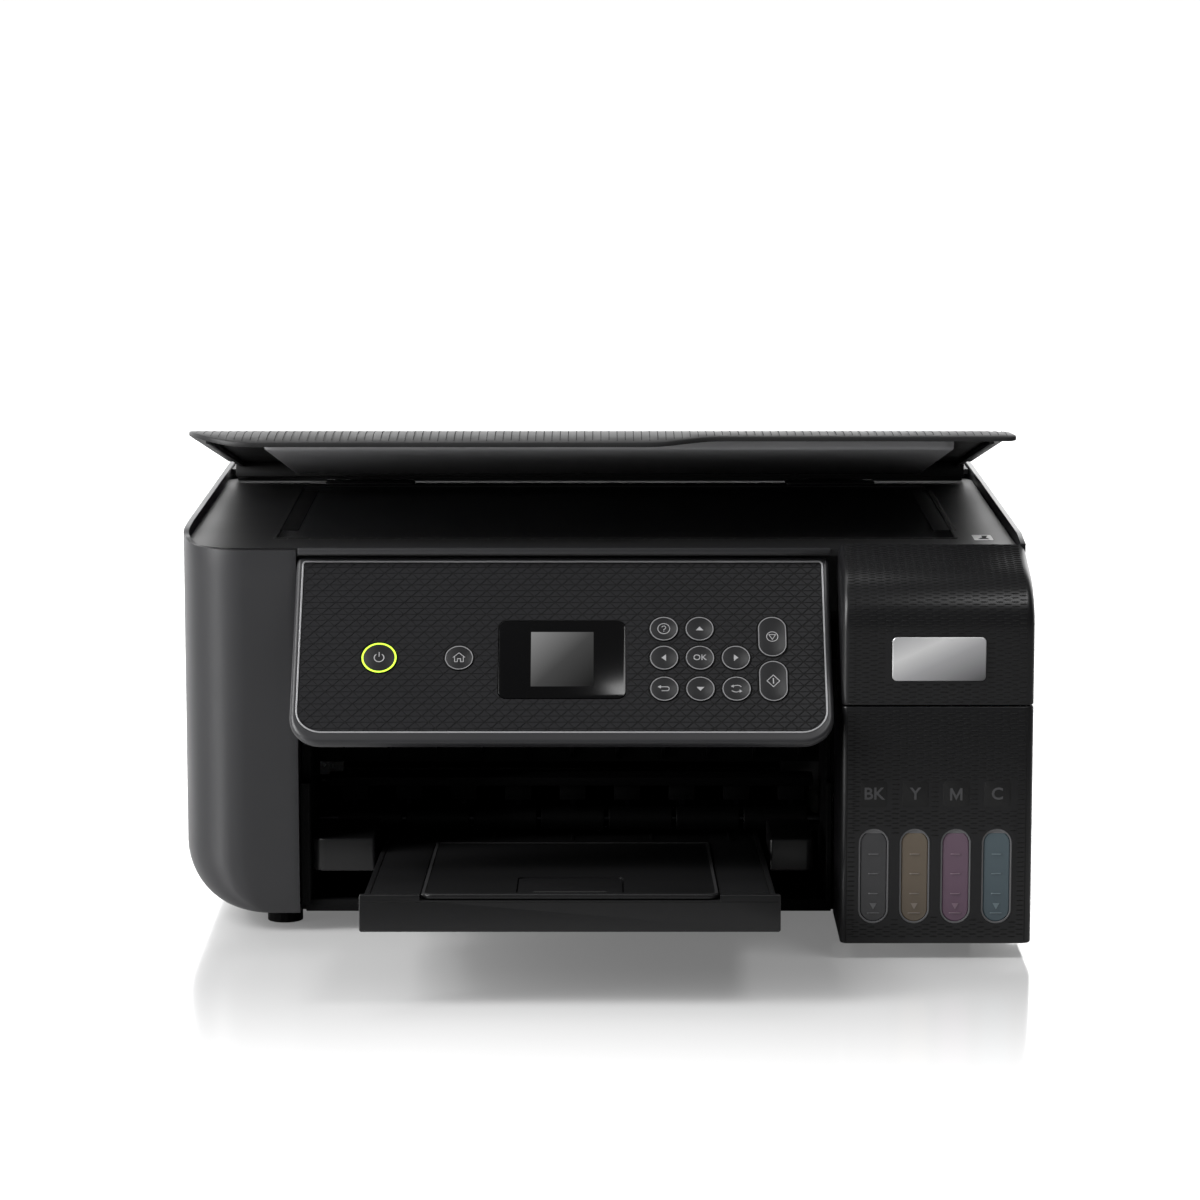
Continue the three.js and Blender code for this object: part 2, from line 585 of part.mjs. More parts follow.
place(printer, "front_frame", makeFrontFrame(), black, 0.6);
place(printer, "platen", makePlaten(), 0x202022, 0.6);
place(printer, "chassis", makeChassis(), steel, 0.35, 1);
place(printer, "guide_rail", makeGuideRail(), steel, 0.3, 1);
place(printer, "print_carriage", makeCarriage(), 0x242426, 0.5);
const [idlerAt, motorAt] = [[belt.idlerX, belt.z], [belt.motorX, belt.z]];
place(printer, "timing_belt", makeBelt("Y", idlerAt, motorAt, belt.pulley, belt.y), black, 0.8);
place(printer, "motor_pulley", makePulley(belt.motorX, 1.8), steel, 0.35, 1);
place(printer, "idler_pulley", makePulley(belt.idlerX, 1.8), 0xd8d8d2, 0.5);
place(printer, "carriage_motor", joined(
  rod("Y", 13, [belt.motorX, belt.z], [211.4, 238], 24),
  rod("Y", 1.5, [belt.motorX, belt.z], [201, 212], 12),
), steel, 0.3, 1);
place(printer, "feed_roller", makeRoller(feedRoller, [-124, 99], [-178.5, 180.5], 20), 0x6c6e70, 0.35, 1);
place(printer, "exit_roller", makeRoller(exitRoller, [-120, 95], [-174, 104], 16), 0x303032, 0.5);
place(printer, "feed_belt", makeBelt("X", [exitRoller.y, exitRoller.z], [feedRoller.y, feedRoller.z], 9,
  [wheelX[0] + 0.5, wheelX[1] - 0.5]), black, 0.8);
place(printer, "star_wheel_bar", makeStarWheelBar(), 0x1f1f20, 0.5);

// ---------------------------------------------------------------------------- rear feeder

const feederUnit = tilted(printer, [feeder.x, feeder.y, feeder.z], -feeder.lean);

function makeFeederFrame() {
  const { half, length, throat } = feeder;
  const back = block([-half - 3, half + 3], [2.7, 4.9], [0, length - 8]);
  const cheek = (x) => block(x, [-throat, 4], [0, length - 22]);
  const front = block([-half - 3, half + 3], [-throat - wall, -throat + 0.1], [36, length - 22]);
  return joined(back, cheek([-half - 3, -half]), cheek([half, half + 3]), front);
}

function makeEdgeGuide(side) {
  const stand = [side * 105.3 - 1.5, side * 105.3 + 1.5];
  const foot = [Math.min(side * 106.8, side * 88), Math.max(side * 106.8, side * 88)];
  return block(stand, [-12, -0.4], [30, 70]).add(block(foot, [-1.6, -0.4], [32, 50]));
}

const supportHalf = 84;
const support = block([-supportHalf, supportHalf], [0.2, 2.2], [14, feeder.length])
  .add(block([-40, 40], [0.2, 3.6], [feeder.length - 3, feeder.length + 3]));

const pickup = { y: 274.2, z: 109.8, r: 13 };
const guardHinge = { y: 311.4, z: 179.2 };
place(feederUnit, "feeder_frame", makeFeederFrame(), 0x262628, 0.6);
place(feederUnit, "paper_support", support, 0x2a2a2c, 0.5);
place(feederUnit, "edge_guide_left", makeEdgeGuide(-1), 0x3a3a3c, 0.5);
place(feederUnit, "edge_guide_right", makeEdgeGuide(1), 0x3a3a3c, 0.5);
place(printer, "pickup_roller", joined(
  rod("X", pickup.r, [pickup.y, pickup.z], [-2, 38], 24),
  rod("X", 2.6, [pickup.y, pickup.z], [-124, 99], 12),
), 0x3c3c3e, 0.9);
place(printer, "feeder_guard", joined(
  block([feeder.x - 111, feeder.x + 111], [guardHinge.y - 1, 326], [rim - 0.6, rim + 1.4]),
  rod("X", 1.2, [guardHinge.y, guardHinge.z], [feeder.x - 111, feeder.x + 111], 10),
), black, 0.5);

// ---------------------------------------------------------------------------- electrics

function makeMainBoard() {
  const usb = block([-107, -93], [316, casingBack - 0.4], [31, 45])
    .subtract(block([-104, -96], [casingBack - 14, casingBack + 5], [34, 42]));
  let board = block([-110, 40], [316, 317.6], [18, 86]).add(usb);
  for (const [x, z, w, h] of [[-66, 34, 22, 22], [-28, 30, 14, 14], [-10, 60, 30, 8], [-80, 66, 12, 12]]) {
    board = board.add(block([x, x + w], [317, 320.5], [z, z + h]));
  }
  return board;
}

const inletBody = block([113, 143], [casingBack - 26, casingBack - 0.4], [25, 47])
  .subtract(block([117, 139], [casingBack - 18, casingBack + 5], [29, 43]))
  .add(joined(
    rod("Y", 1.6, [123, 36], [casingBack - 20, casingBack - 3], 8),
    rod("Y", 1.6, [133, 36], [casingBack - 20, casingBack - 3], 8),
  ));
place(printer, "main_board", makeMainBoard(), 0x1f5a38, 0.5);
place(printer, "power_supply", block([46, 108], [300, 333], [16, 72]), steel, 0.35, 1);
place(printer, "ac_inlet", inletBody, 0x161617, 0.5);

// ---------------------------------------------------------------------------- output tray

const trayUnit = tilted(printer, [tray.x, tray.lipY, tray.lipZ], -tray.slope);
const stageHalf = 62;
const stage = { y: [1.2, 168], z: [-2, -0.1] };
const stopper = { half: 22, y: [8, 52] };

function makeOutputTray() {
  const deck = block([-tray.half, tray.half], [3, tray.length], [-5, -2.4]);
  const lip = prism("Y", rounded([-tray.lipHalf, tray.lipHalf], [-15.5, 0], [1, 1, 0.6, 0.6]), [0, 4]);
  const rails = [-1, 1].map((side) => {
    const x = side * (tray.half - 1.2);
    const rail = [x - 1.2, x + 1.2];
    return joined(block(rail, [3, tray.length], [-5, -0.4]), block(rail, [3, 95], [-10, -1]));
  });
  const seat = block([-stageHalf - 0.4, stageHalf + 0.4], [-1, 5], [-2.4, 5]);
  return joined(deck, lip, ...rails).subtract(seat);
}

const stageCut = block([-stopper.half - 0.4, stopper.half + 0.4], [stopper.y[0] - 0.6, stopper.y[1] + 0.4], [-5, 5]);
const trayStage = block([-stageHalf, stageHalf], stage.y, stage.z).subtract(stageCut);
const trayStopper = block([-stopper.half, stopper.half], stopper.y, [-1.8, -0.3]);
place(trayUnit, "output_tray", makeOutputTray(), 0x242426, 0.4);
place(trayUnit, "tray_extension", trayStage, 0x222224, 0.4);
place(trayUnit, "tray_stopper", trayStopper, 0x28282a, 0.4);

export default assembly;
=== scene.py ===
"""Looks for the ink-tank printer: moulded shells, the relief on the control panel and the tank unit, printed
keys, ink windows, the tray and the lid, set on a pale polished table under soft studio light.

Shapes are written in millimetres, in the local frame of the unit that they belong to (casing, lid, control
panel, tray or rear feeder), and are placed in the shared frame as they are made."""

import json
import math

import bpy
import bmesh
from mathutils import Matrix, Vector, geometry


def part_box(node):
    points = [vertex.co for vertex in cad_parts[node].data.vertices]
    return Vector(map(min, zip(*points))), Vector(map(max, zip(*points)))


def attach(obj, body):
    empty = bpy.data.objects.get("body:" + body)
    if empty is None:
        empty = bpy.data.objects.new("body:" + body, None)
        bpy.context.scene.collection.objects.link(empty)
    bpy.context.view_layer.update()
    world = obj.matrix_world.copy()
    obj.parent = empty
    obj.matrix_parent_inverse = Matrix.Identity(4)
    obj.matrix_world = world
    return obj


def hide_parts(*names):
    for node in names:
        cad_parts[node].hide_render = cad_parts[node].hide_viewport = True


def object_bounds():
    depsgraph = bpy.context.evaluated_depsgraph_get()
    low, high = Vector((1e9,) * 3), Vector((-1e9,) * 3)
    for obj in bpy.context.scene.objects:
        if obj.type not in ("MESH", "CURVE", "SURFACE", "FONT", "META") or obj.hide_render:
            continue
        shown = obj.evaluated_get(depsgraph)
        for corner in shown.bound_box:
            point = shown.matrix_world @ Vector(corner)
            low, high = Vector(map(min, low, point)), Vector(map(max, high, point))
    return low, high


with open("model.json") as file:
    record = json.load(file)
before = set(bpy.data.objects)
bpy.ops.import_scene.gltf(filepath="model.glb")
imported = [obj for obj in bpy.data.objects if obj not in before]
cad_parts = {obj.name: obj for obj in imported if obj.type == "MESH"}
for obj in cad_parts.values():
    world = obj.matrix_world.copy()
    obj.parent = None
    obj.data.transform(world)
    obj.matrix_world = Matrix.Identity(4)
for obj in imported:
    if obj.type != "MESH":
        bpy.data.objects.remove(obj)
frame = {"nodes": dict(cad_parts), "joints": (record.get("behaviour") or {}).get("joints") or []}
cad_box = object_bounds()

MM = 0.001
EDGE_ANGLE = math.radians(32)         # sharper edges than this stay sharp in the shading

# ------------------------------------------------------------------------------------------ local frames

JOINTS = {joint["name"]: joint for joint in frame["joints"]}


def joint_point(name):
    return Vector(JOINTS[name]["pos_m"]) / MM


def joint_axis(name):
    return Vector(JOINTS[name]["axis"])


def turned_frame(origin, inward):
    """A frame at `origin` (mm) whose +Y runs along `inward` and whose +X is the printer's own."""
    x = Vector((1, 0, 0))
    z = x.cross(inward).normalized()
    rotation = Matrix((x, inward.normalized(), z)).transposed().to_4x4()
    return Matrix.Translation(origin) @ rotation


WORLD = Matrix.Identity(4)
PANEL = turned_frame(joint_point("panel_tilt"), joint_axis("press_ok"))
TRAY_WAY = -joint_axis("output_tray_slide")
AJAR = -math.radians(JOINTS["lid_hinge"]["range_deg"][0])
LID = turned_frame(joint_point("lid_hinge"), Vector((0, math.cos(AJAR), -math.sin(AJAR))))


def points_of(node):
    """The corners of a CAD node in millimetres, in the shared frame."""
    return [vertex.co / MM for vertex in frame["nodes"][node].data.vertices]


def local_box(node, place=WORLD):
    """The lowest and highest corners of a CAD node, seen in a local frame."""
    back = place.inverted()
    corners = [back @ point for point in points_of(node)]
    low = Vector([min(corner[i] for corner in corners) for i in range(3)])
    high = Vector([max(corner[i] for corner in corners) for i in range(3)])
    return low, high


# ------------------------------------------------------------------------------------------ materials

def linear(code):
    """An sRGB hex colour as linear red, green, blue and alpha."""
    parts = [int(code[i:i + 2], 16) / 255 for i in (0, 2, 4)]
    return [c / 12.92 if c <= 0.04045 else ((c + 0.055) / 1.055) ** 2.4 for c in parts] + [1.0]


def add(tree, kind, links=None, **settings):
    """Adds one node. Settings name its properties or its inputs, and links feed its inputs by name or
    number."""
    node = tree.nodes.new(kind)
    for name, value in settings.items():
        if hasattr(node, name):
            setattr(node, name, value)
        else:
            node.inputs[name.replace("_", " ")].default_value = value
    for name, source in (links or {}).items():
        tree.links.new(source, node.inputs[name])
    return node


def new_material(name, color, roughness, metallic=0.0, ior=1.5, **sockets):
    """A named material and its shader. Uniform values are set on the shader's own sockets."""
    material = bpy.data.materials.new(name)
    material.use_nodes = True
    tree = material.node_tree
    shader = tree.nodes["Principled BSDF"]
    shader.inputs["Base Color"].default_value = linear(color)
    shader.inputs["Roughness"].default_value = roughness
    shader.inputs["Metallic"].default_value = metallic
    shader.inputs["IOR"].default_value = ior
    for socket, value in sockets.items():
        shader.inputs[socket.replace("_", " ")].default_value = value
    return material, tree, shader


def object_coordinates(tree, scale=(1, 1, 1)):
    source = add(tree, "ShaderNodeTexCoord").outputs["Object"]
    mapping = add(tree, "ShaderNodeMapping", {"Vector": source})
    mapping.inputs["Scale"].default_value = scale
    return mapping.outputs["Vector"]


def moulded(name, color, roughness, grain_mm, depth_mm, shade=0.06, **sockets):
    """Injection-moulded ABS or polystyrene with a spark-eroded grain: a fine pebble that breaks up the gloss,
    and a faint drift in colour and gloss over a few centimetres."""
    material, tree, shader = new_material(name, color, roughness, **sockets)
    where = object_coordinates(tree)
    drift = add(tree, "ShaderNodeTexNoise", {"Vector": where}, Scale=22.0, Detail=2.0)
    tones = add(tree, "ShaderNodeMapRange", {"Value": drift.outputs["Fac"]}, To_Min=1 - shade,
                To_Max=1 + shade)
    paint = add(tree, "ShaderNodeMix", {"B": tones.outputs["Result"]}, data_type="RGBA",
                blend_type="MULTIPLY")
    paint.inputs["Factor"].default_value = 1.0
    paint.inputs["A"].default_value = linear(color)
    tree.links.new(tones.outputs["Result"], paint.inputs["B"])
    gloss = add(tree, "ShaderNodeMapRange", {"Value": drift.outputs["Fac"]},
                To_Min=roughness * 0.92, To_Max=min(1.0, roughness * 1.08))
    grain = add(tree, "ShaderNodeTexNoise", {"Vector": where}, Scale=1 / (grain_mm * MM), Detail=3.0,
                Roughness=0.6)
    bump = add(tree, "ShaderNodeBump", {"Height": grain.outputs["Fac"]}, Strength=0.5,
               Distance=depth_mm * MM)
    tree.links.new(paint.outputs["Result"], shader.inputs["Base Color"])
    tree.links.new(gloss.outputs["Result"], shader.inputs["Roughness"])
    tree.links.new(bump.outputs["Normal"], shader.inputs["Normal"])
    return material


def rolled_steel(name, color, roughness):
    """Zinc-plated steel sheet: long fine rolling lines along X with a soft spangle."""
    material, tree, shader = new_material(name, color, roughness, metallic=1.0)
    lines = add(tree, "ShaderNodeTexNoise", {"Vector": object_coordinates(tree, (40, 1800, 1800))},
                Scale=1.0, Detail=4.0)
    spangle = add(tree, "ShaderNodeTexVoronoi", {"Vector": object_coordinates(tree)}, Scale=160.0)
    mixed = add(tree, "ShaderNodeMath", {0: lines.outputs["Fac"], 1: spangle.outputs["Distance"]},
                operation="MULTIPLY")
    gloss = add(tree, "ShaderNodeMapRange", {"Value": mixed.outputs[0]}, To_Min=roughness * 0.8,
                To_Max=roughness * 1.5)
    bump = add(tree, "ShaderNodeBump", {"Height": lines.outputs["Fac"]}, Strength=0.25,
               Distance=0.02 * MM)
    tree.links.new(gloss.outputs["Result"], shader.inputs["Roughness"])
    tree.links.new(bump.outputs["Normal"], shader.inputs["Normal"])
    return material


def brushed(name, color, roughness, along=(60, 60, 4000)):
    """Anodised aluminium foil, brushed one way: fine scratches that stretch the highlights."""
    material, tree, shader = new_material(name, color, roughness, metallic=1.0)
    scratch = add(tree, "ShaderNodeTexNoise", {"Vector": object_coordinates(tree, along)}, Scale=1.0,
                  Detail=5.0)
    gloss = add(tree, "ShaderNodeMapRange", {"Value": scratch.outputs["Fac"]}, To_Min=roughness * 0.7,
                To_Max=roughness * 1.3)
    bump = add(tree, "ShaderNodeBump", {"Height": scratch.outputs["Fac"]}, Strength=0.2,
               Distance=0.01 * MM)
    tree.links.new(gloss.outputs["Result"], shader.inputs["Roughness"])
    tree.links.new(bump.outputs["Normal"], shader.inputs["Normal"])
    return material


def glowing(name, color, strength):
    """A lit ring: an edge-lit acrylic light guide."""
    material, tree, shader = new_material(name, color, 0.4)
    shader.inputs["Emission Color"].default_value = linear(color)
    shader.inputs["Emission Strength"].default_value = strength
    return material


def ink_window(name, top, foot, low, high):
    """Clear polystyrene over ink: the colour deepens towards the bottom of the window."""
    material, tree, shader = new_material(name, top, 0.22, Coat_Weight=0.4, Coat_Roughness=0.12)
    height = add(tree, "ShaderNodeSeparateXYZ", {0: object_coordinates(tree)}).outputs["Z"]
    along = add(tree, "ShaderNodeMapRange", {"Value": height}, From_Min=low * MM, From_Max=high * MM)
    paint = add(tree, "ShaderNodeMix", {"Factor": along.outputs["Result"]}, data_type="RGBA")
    paint.inputs["A"].default_value = linear(foot)
    paint.inputs["B"].default_value = linear(top)
    tree.links.new(paint.outputs["Result"], shader.inputs["Base Color"])
    return material


def slanting(tree, low, high, stops):
    """A ramp of colours from the upper left of a rectangle in X and Z to its lower right."""
    split = add(tree, "ShaderNodeSeparateXYZ", {0: object_coordinates(tree)})
    across = add(tree, "ShaderNodeMapRange", {"Value": split.outputs["X"]}, From_Min=low[0] * MM,
                 From_Max=high[0] * MM)
    fall = add(tree, "ShaderNodeMapRange", {"Value": split.outputs["Z"]}, From_Min=high[1] * MM,
               From_Max=low[1] * MM)
    both = add(tree, "ShaderNodeMath", {0: across.outputs["Result"], 1: fall.outputs["Result"]},
               operation="ADD")
    half = add(tree, "ShaderNodeMath", {0: both.outputs[0]}, operation="MULTIPLY")
    half.inputs[1].default_value = 0.5
    ramp = add(tree, "ShaderNodeValToRGB", {"Fac": half.outputs[0]})
    elements = ramp.color_ramp.elements
    elements[0].color, elements[1].color = linear(stops[0][1]), linear(stops[-1][1])
    for spot, color in stops[1:-1]:
        elements.new(spot).color = linear(color)
    return ramp.outputs["Color"]


def screen_painted_reflection(name, low, high):
    """A liquid-crystal screen with a painted reflection: an emitted slanting grey gradient, pale at the upper
    left and near black at the lower right, stands in for a soft light reflected in the screen.
    """
    material, tree, shader = new_material(name, "050505", 0.3, Specular_IOR_Level=0.2)
    shade = slanting(tree, low, high, ((0.0, "828282"), (0.5, "404040"), (1.0, "030303")))
    tree.links.new(shade, shader.inputs["Emission Color"])
    shader.inputs["Emission Strength"].default_value = 1.0
    return material


def foil(name, low, high):
    """Silver foil under a satin varnish, with a painted reflection: a slanting ramp from pale grey up to a
    white painted highlight and down to dark grey, shaded from pale to grey the way a bent mirror is.
    """
    material, tree, shader = new_material(name, "c4c5c8", 0.3, metallic=0.25)
    shade = slanting(tree, low, high, ((0.0, "c9c9cb"), (0.3, "fafafa"), (0.55, "c2c2c4"), (1.0,
                                                                                            "5a5a5c")))
    scratch = add(tree, "ShaderNodeTexNoise", {"Vector": object_coordinates(tree, (60, 60, 4000))},
                  Scale=1.0, Detail=5.0)
    bump = add(tree, "ShaderNodeBump", {"Height": scratch.outputs["Fac"]}, Strength=0.2,
               Distance=0.01 * MM)
    tree.links.new(shade, shader.inputs["Base Color"])
    tree.links.new(bump.outputs["Normal"], shader.inputs["Normal"])
    return material


SATIN_GREY = moulded("satin_abs_dark_grey", "343436", 0.42, 0.5, 0.012)
BLACK = moulded("grained_abs_black", "19191a", 0.46, 0.55, 0.02)
TANK_BLACK = moulded("satin_abs_black", "131315", 0.34, 0.5, 0.012)
INNER = moulded("plain_polystyrene_black", "030304", 0.75, 0.8, 0.02, Specular_IOR_Level=0.15)
LID_BLACK = moulded("lid_abs_black", "1d1d1e", 0.5, 0.5, 0.02)
FRAME_GREY = moulded("satin_abs_mid_grey", "343436", 0.36, 0.5, 0.01)
FACE = moulded("panel_face_film", "232325", 0.36, 0.35, 0.01, Specular_IOR_Level=0.3)
KEY = moulded("silicone_coated_key", "1c1c1e", 0.4, 0.35, 0.008)
GROOVE = new_material("groove_shadow_black", "030303", 0.85)[0]
PRINT_GREY = new_material("screen_printed_grey", "b4b4b6", 0.5)[0]
PRINT_DIM = new_material("screen_printed_dim_grey", "8e8e90", 0.5)[0]
PRINT_WHITE = new_material("screen_printed_white", "dcdcdc", 0.45)[0]
INLAY = new_material("silver_paint_line", "b4b4b6", 0.35, metallic=0.3)[0]
GLOSS = new_material("gloss_acrylic_black", "060607", 0.14, Specular_IOR_Level=0.4)[0]
BED_GLASS = new_material("float_glass_over_black", "1d1e1f", 0.2, ior=1.52)[0]
STEEL = rolled_steel("zinc_plated_steel", "9fa2a5", 0.32)
BLUED = rolled_steel("blackened_steel", "16161a", 0.5)
PAD = moulded("foam_pad_film", "a4a4a6", 0.7, 1.6, 0.08)
RUBBER = moulded("ground_rubber_black", "1a1a1a", 0.85, 0.4, 0.03)
WHITE_ACETAL = moulded("natural_acetal", "d9d8d0", 0.4, 0.6, 0.01)
BOARD = moulded("solder_mask_green", "14422a", 0.35, 0.6, 0.02)
LIME = glowing("lime_light_guide", "b6e83c", 1.6)
TILE = moulded("tile_black", "060607", 0.6, 0.5, 0.01)

INKS = {
    "black": ink_window("window_over_black_ink", "3c3c3e", "343436", 14, 58),
    "yellow": ink_window("window_over_yellow_ink", "716555", "65594a", 14, 58),
    "magenta": ink_window("window_over_magenta_ink", "70596a", "664c60", 14, 58),
    "cyan": ink_window("window_over_cyan_ink", "526269", "46565e", 14, 58),
}

# ------------------------------------------------------------------------------------------ meshes

def piece(name, verts, faces, material, body, slot, place=WORLD, replaces=(), flat=False):
    """A finished mesh from corners in millimetres: placed, closed up, shaded and riding on its body."""
    mesh = bpy.data.meshes.new(name)
    mesh.from_pydata([(place @ Vector(v)) * MM for v in verts], [], faces)
    obj = bpy.data.objects.new(name, mesh)
    bpy.context.scene.collection.objects.link(obj)
    mesh.materials.append(material)
    work = bmesh.new()
    work.from_mesh(mesh)
    bmesh.ops.remove_doubles(work, verts=work.verts, dist=1e-7)
    bmesh.ops.recalc_face_normals(work, faces=work.faces)
    work.to_mesh(mesh)
    work.free()
    if not flat:
        mesh.shade_smooth()
        mesh.set_sharp_from_angle(angle=EDGE_ANGLE)
    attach(obj, body)
    if replaces:
        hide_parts(*replaces)
    return obj


def settle(obj):
    """Turns an object's modifiers into plain mesh."""
    bpy.context.view_layer.update()
    graph = bpy.context.evaluated_depsgraph_get()
    mesh = bpy.data.meshes.new_from_object(obj.evaluated_get(graph))
    old = obj.data
    obj.modifiers.clear()
    obj.data = mesh
    mesh.name = obj.name
    bpy.data.meshes.remove(old)
    return obj


def finish_edges(obj, width_mm, segments=2, thick_mm=0.0, offset=-1.0):
    """Gives a sheet its thickness and any piece its small moulded edge radius."""
    if thick_mm:
        solid = obj.modifiers.new("thickness", "SOLIDIFY")
        solid.thickness = thick_mm * MM
        solid.offset = offset
        solid.use_even_offset = True
    if width_mm:
        bevel = obj.modifiers.new("edge", "BEVEL")
        bevel.width = width_mm * MM
        bevel.segments = segments
        bevel.limit_method = "ANGLE"
        bevel.angle_limit = EDGE_ANGLE
        bevel.use_clamp_overlap = True
    settle(obj)
    obj.data.shade_smooth()
    obj.data.set_sharp_from_angle(angle=EDGE_ANGLE)
    return obj


def cut(obj, *tools):
    """Cuts plain tool solids out of a piece and drops the tools."""
    for tool in tools:
        knife = obj.modifiers.new("cut", "BOOLEAN")
        knife.operation = "DIFFERENCE"
        knife.solver = "EXACT"
        knife.object = tool
    settle(obj)
    for tool in tools:
        bpy.data.objects.remove(tool)
    obj.data.shade_smooth()
    obj.data.set_sharp_from_angle(angle=EDGE_ANGLE)
    return obj


def tool_solid(verts, faces, place=WORLD):
    mesh = bpy.data.meshes.new("tool")
    mesh.from_pydata([(place @ Vector(v)) * MM for v in verts], [], faces)
    obj = bpy.data.objects.new("tool", mesh)
    bpy.context.scene.collection.objects.link(obj)
    work = bmesh.new()
    work.from_mesh(mesh)
    bmesh.ops.recalc_face_normals(work, faces=work.faces)
    work.to_mesh(mesh)
    work.free()
    return obj


AXES = {"X": lambda u, v, w: (w, u, v), "Y": lambda u, v, w: (u, w, v), "Z": lambda u, v, w: (u, v, w)}


def rounded(u, v, radii, steps=6):
    """Points round a rectangle with corners rounded: low-low, high-low, high-high, low-high."""
    centres = [(u[0], v[0], 1, 1, 180), (u[1], v[0], -1, 1, 270), (u[1], v[1], -1, -1, 0),
               (u[0], v[1], 1, -1, 90)]
    points = []
    for (cu, cv, du, dv, start), radius in zip(centres, radii):
        for i in range(steps + 1):
            angle = math.radians(start + 90 * i / steps)
            points.append((cu + du * radius + radius * math.cos(angle),
                           cv + dv * radius + radius * math.sin(angle)))
    return points


def rounded_inset(u, v, radii, steps=6):
    """The same rectangle as a rule for insets, so that its corners stay concentric."""
    def ring(inset):
        sides = [(u[0] + inset, u[1] - inset), (v[0] + inset, v[1] - inset)]
        return rounded(*sides, [max(r - inset, 0.05) for r in radii], steps)
    return ring


def circle_inset(centre, radius, rise=0.0, steps=40):
    """A circle, or a capsule whose two ends are `rise` from its middle, as a rule for insets."""
    def ring(inset):
        points = []
        for i in range(steps):
            angle = 2 * math.pi * (i + 0.5) / steps
            shift = math.copysign(rise, math.sin(angle))
            points.append((centre[0] + (radius - inset) * math.cos(angle),
                           centre[1] + shift + (radius - inset) * math.sin(angle)))
        return points
    return ring


def stacked(ring, levels, axis):
    """Corners and faces of a closed solid through rings of one outline: levels are (inset, height)."""
    verts, faces = [], []
    for inset, height in levels:
        verts += [AXES[axis](u, v, height) for u, v in ring(inset)]
    count = len(verts) // len(levels)
    for level in range(len(levels) - 1):
        for i in range(count):
            a, b = level * count + i, level * count + (i + 1) % count
            faces.append((a, b, b + count, a + count))
    faces.append(tuple(reversed(range(count))))
    faces.append(tuple(range(len(verts) - count, len(verts))))
    return verts, faces


def slab(ring, low, high, axis, radius=0.0, steps=3):
    """A solid of one outline between two heights, with rounded rims."""
    levels = []
    for i in range(steps + 1 if radius else 1):
        turn = math.pi / 2 * i / steps
        levels.append((radius * (1 - math.sin(turn)), low + radius * (1 - math.cos(turn))))
    for i in range(steps + 1 if radius else 1):
        turn = math.pi / 2 * i / steps
        levels.append((radius * (1 - math.cos(turn)), high - radius * (1 - math.sin(turn))))
    return stacked(ring, levels, axis)


def box_solid(x, y, z, radius=0.0):
    return slab(rounded_inset(x, y, [max(radius, 0.02)] * 4, 2 if radius else 1), z[0], z[1], "Z", radius,
                2)


def merged(*solids):
    """Several solids as the corners and faces of one piece."""
    verts, faces = [], []
    for more_verts, more_faces in solids:
        faces += [tuple(i + len(verts) for i in face) for face in more_faces]
        verts += more_verts
    return verts, faces


def band(ring, inner, outer, low, high, axis):
    """A closed loop of rectangular section that follows an outline between two insets."""
    verts = []
    for inset, height in ((outer, low), (outer, high), (inner, high), (inner, low)):
        verts += [AXES[axis](u, v, height) for u, v in ring(inset)]
    count = len(verts) // 4
    faces = []
    for level in range(4):
        for i in range(count):
            a, b = level * count + i, level * count + (i + 1) % count
            c, d = (level + 1) % 4 * count + (i + 1) % count, (level + 1) % 4 * count + i
            faces.append((a, b, c, d))
    return verts, faces


def stroke(points, width, low, high, axis="Y", closed=False):
    """A flat ribbon along a line, for printed signs."""
    flat = [Vector(p) for p in points]
    count = len(flat)
    left, right = [], []
    for i, here in enumerate(flat):
        before = flat[i - 1] if closed or i else here
        after = flat[(i + 1) % count] if closed or i < count - 1 else here
        first = (here - before).normalized() if here != before else (after - here).normalized()
        second = (after - here).normalized() if after != here else first
        normal = Vector((-(first + second).y, (first + second).x)).normalized()
        spread = width / 2 / max(0.35, normal.dot(Vector((-first.y, first.x))))
        left.append(here + normal * spread)
        right.append(here - normal * spread)
    verts = []
    for a, b in zip(left, right):
        verts += [AXES[axis](a.x, a.y, low), AXES[axis](b.x, b.y, low), AXES[axis](b.x, b.y, high),
                  AXES[axis](a.x, a.y, high)]
    faces = []
    for i in range(count if closed else count - 1):
        for k in range(4):
            a, b = 4 * i + k, 4 * i + (k + 1) % 4
            faces.append((a, b, (b + 4) % (4 * count), (a + 4) % (4 * count)))
    if not closed:
        faces += [(3, 2, 1, 0), (4 * count - 4, 4 * count - 3, 4 * count - 2, 4 * count - 1)]
    return verts, faces


def filled(points, low, high, axis="Y"):
    """A flat filled sign with a little height."""
    return stacked(lambda inset: points, [(0, low), (0, high)], axis)


def arc(centre, radius, start, end, steps=20):
    return [(centre[0] + radius * math.cos(math.radians(start + (end - start) * i / steps)),
             centre[1] + radius * math.sin(math.radians(start + (end - start) * i / steps)))
            for i in range(steps + 1)]


# ------------------------------------------------------------------------------------------ repeats

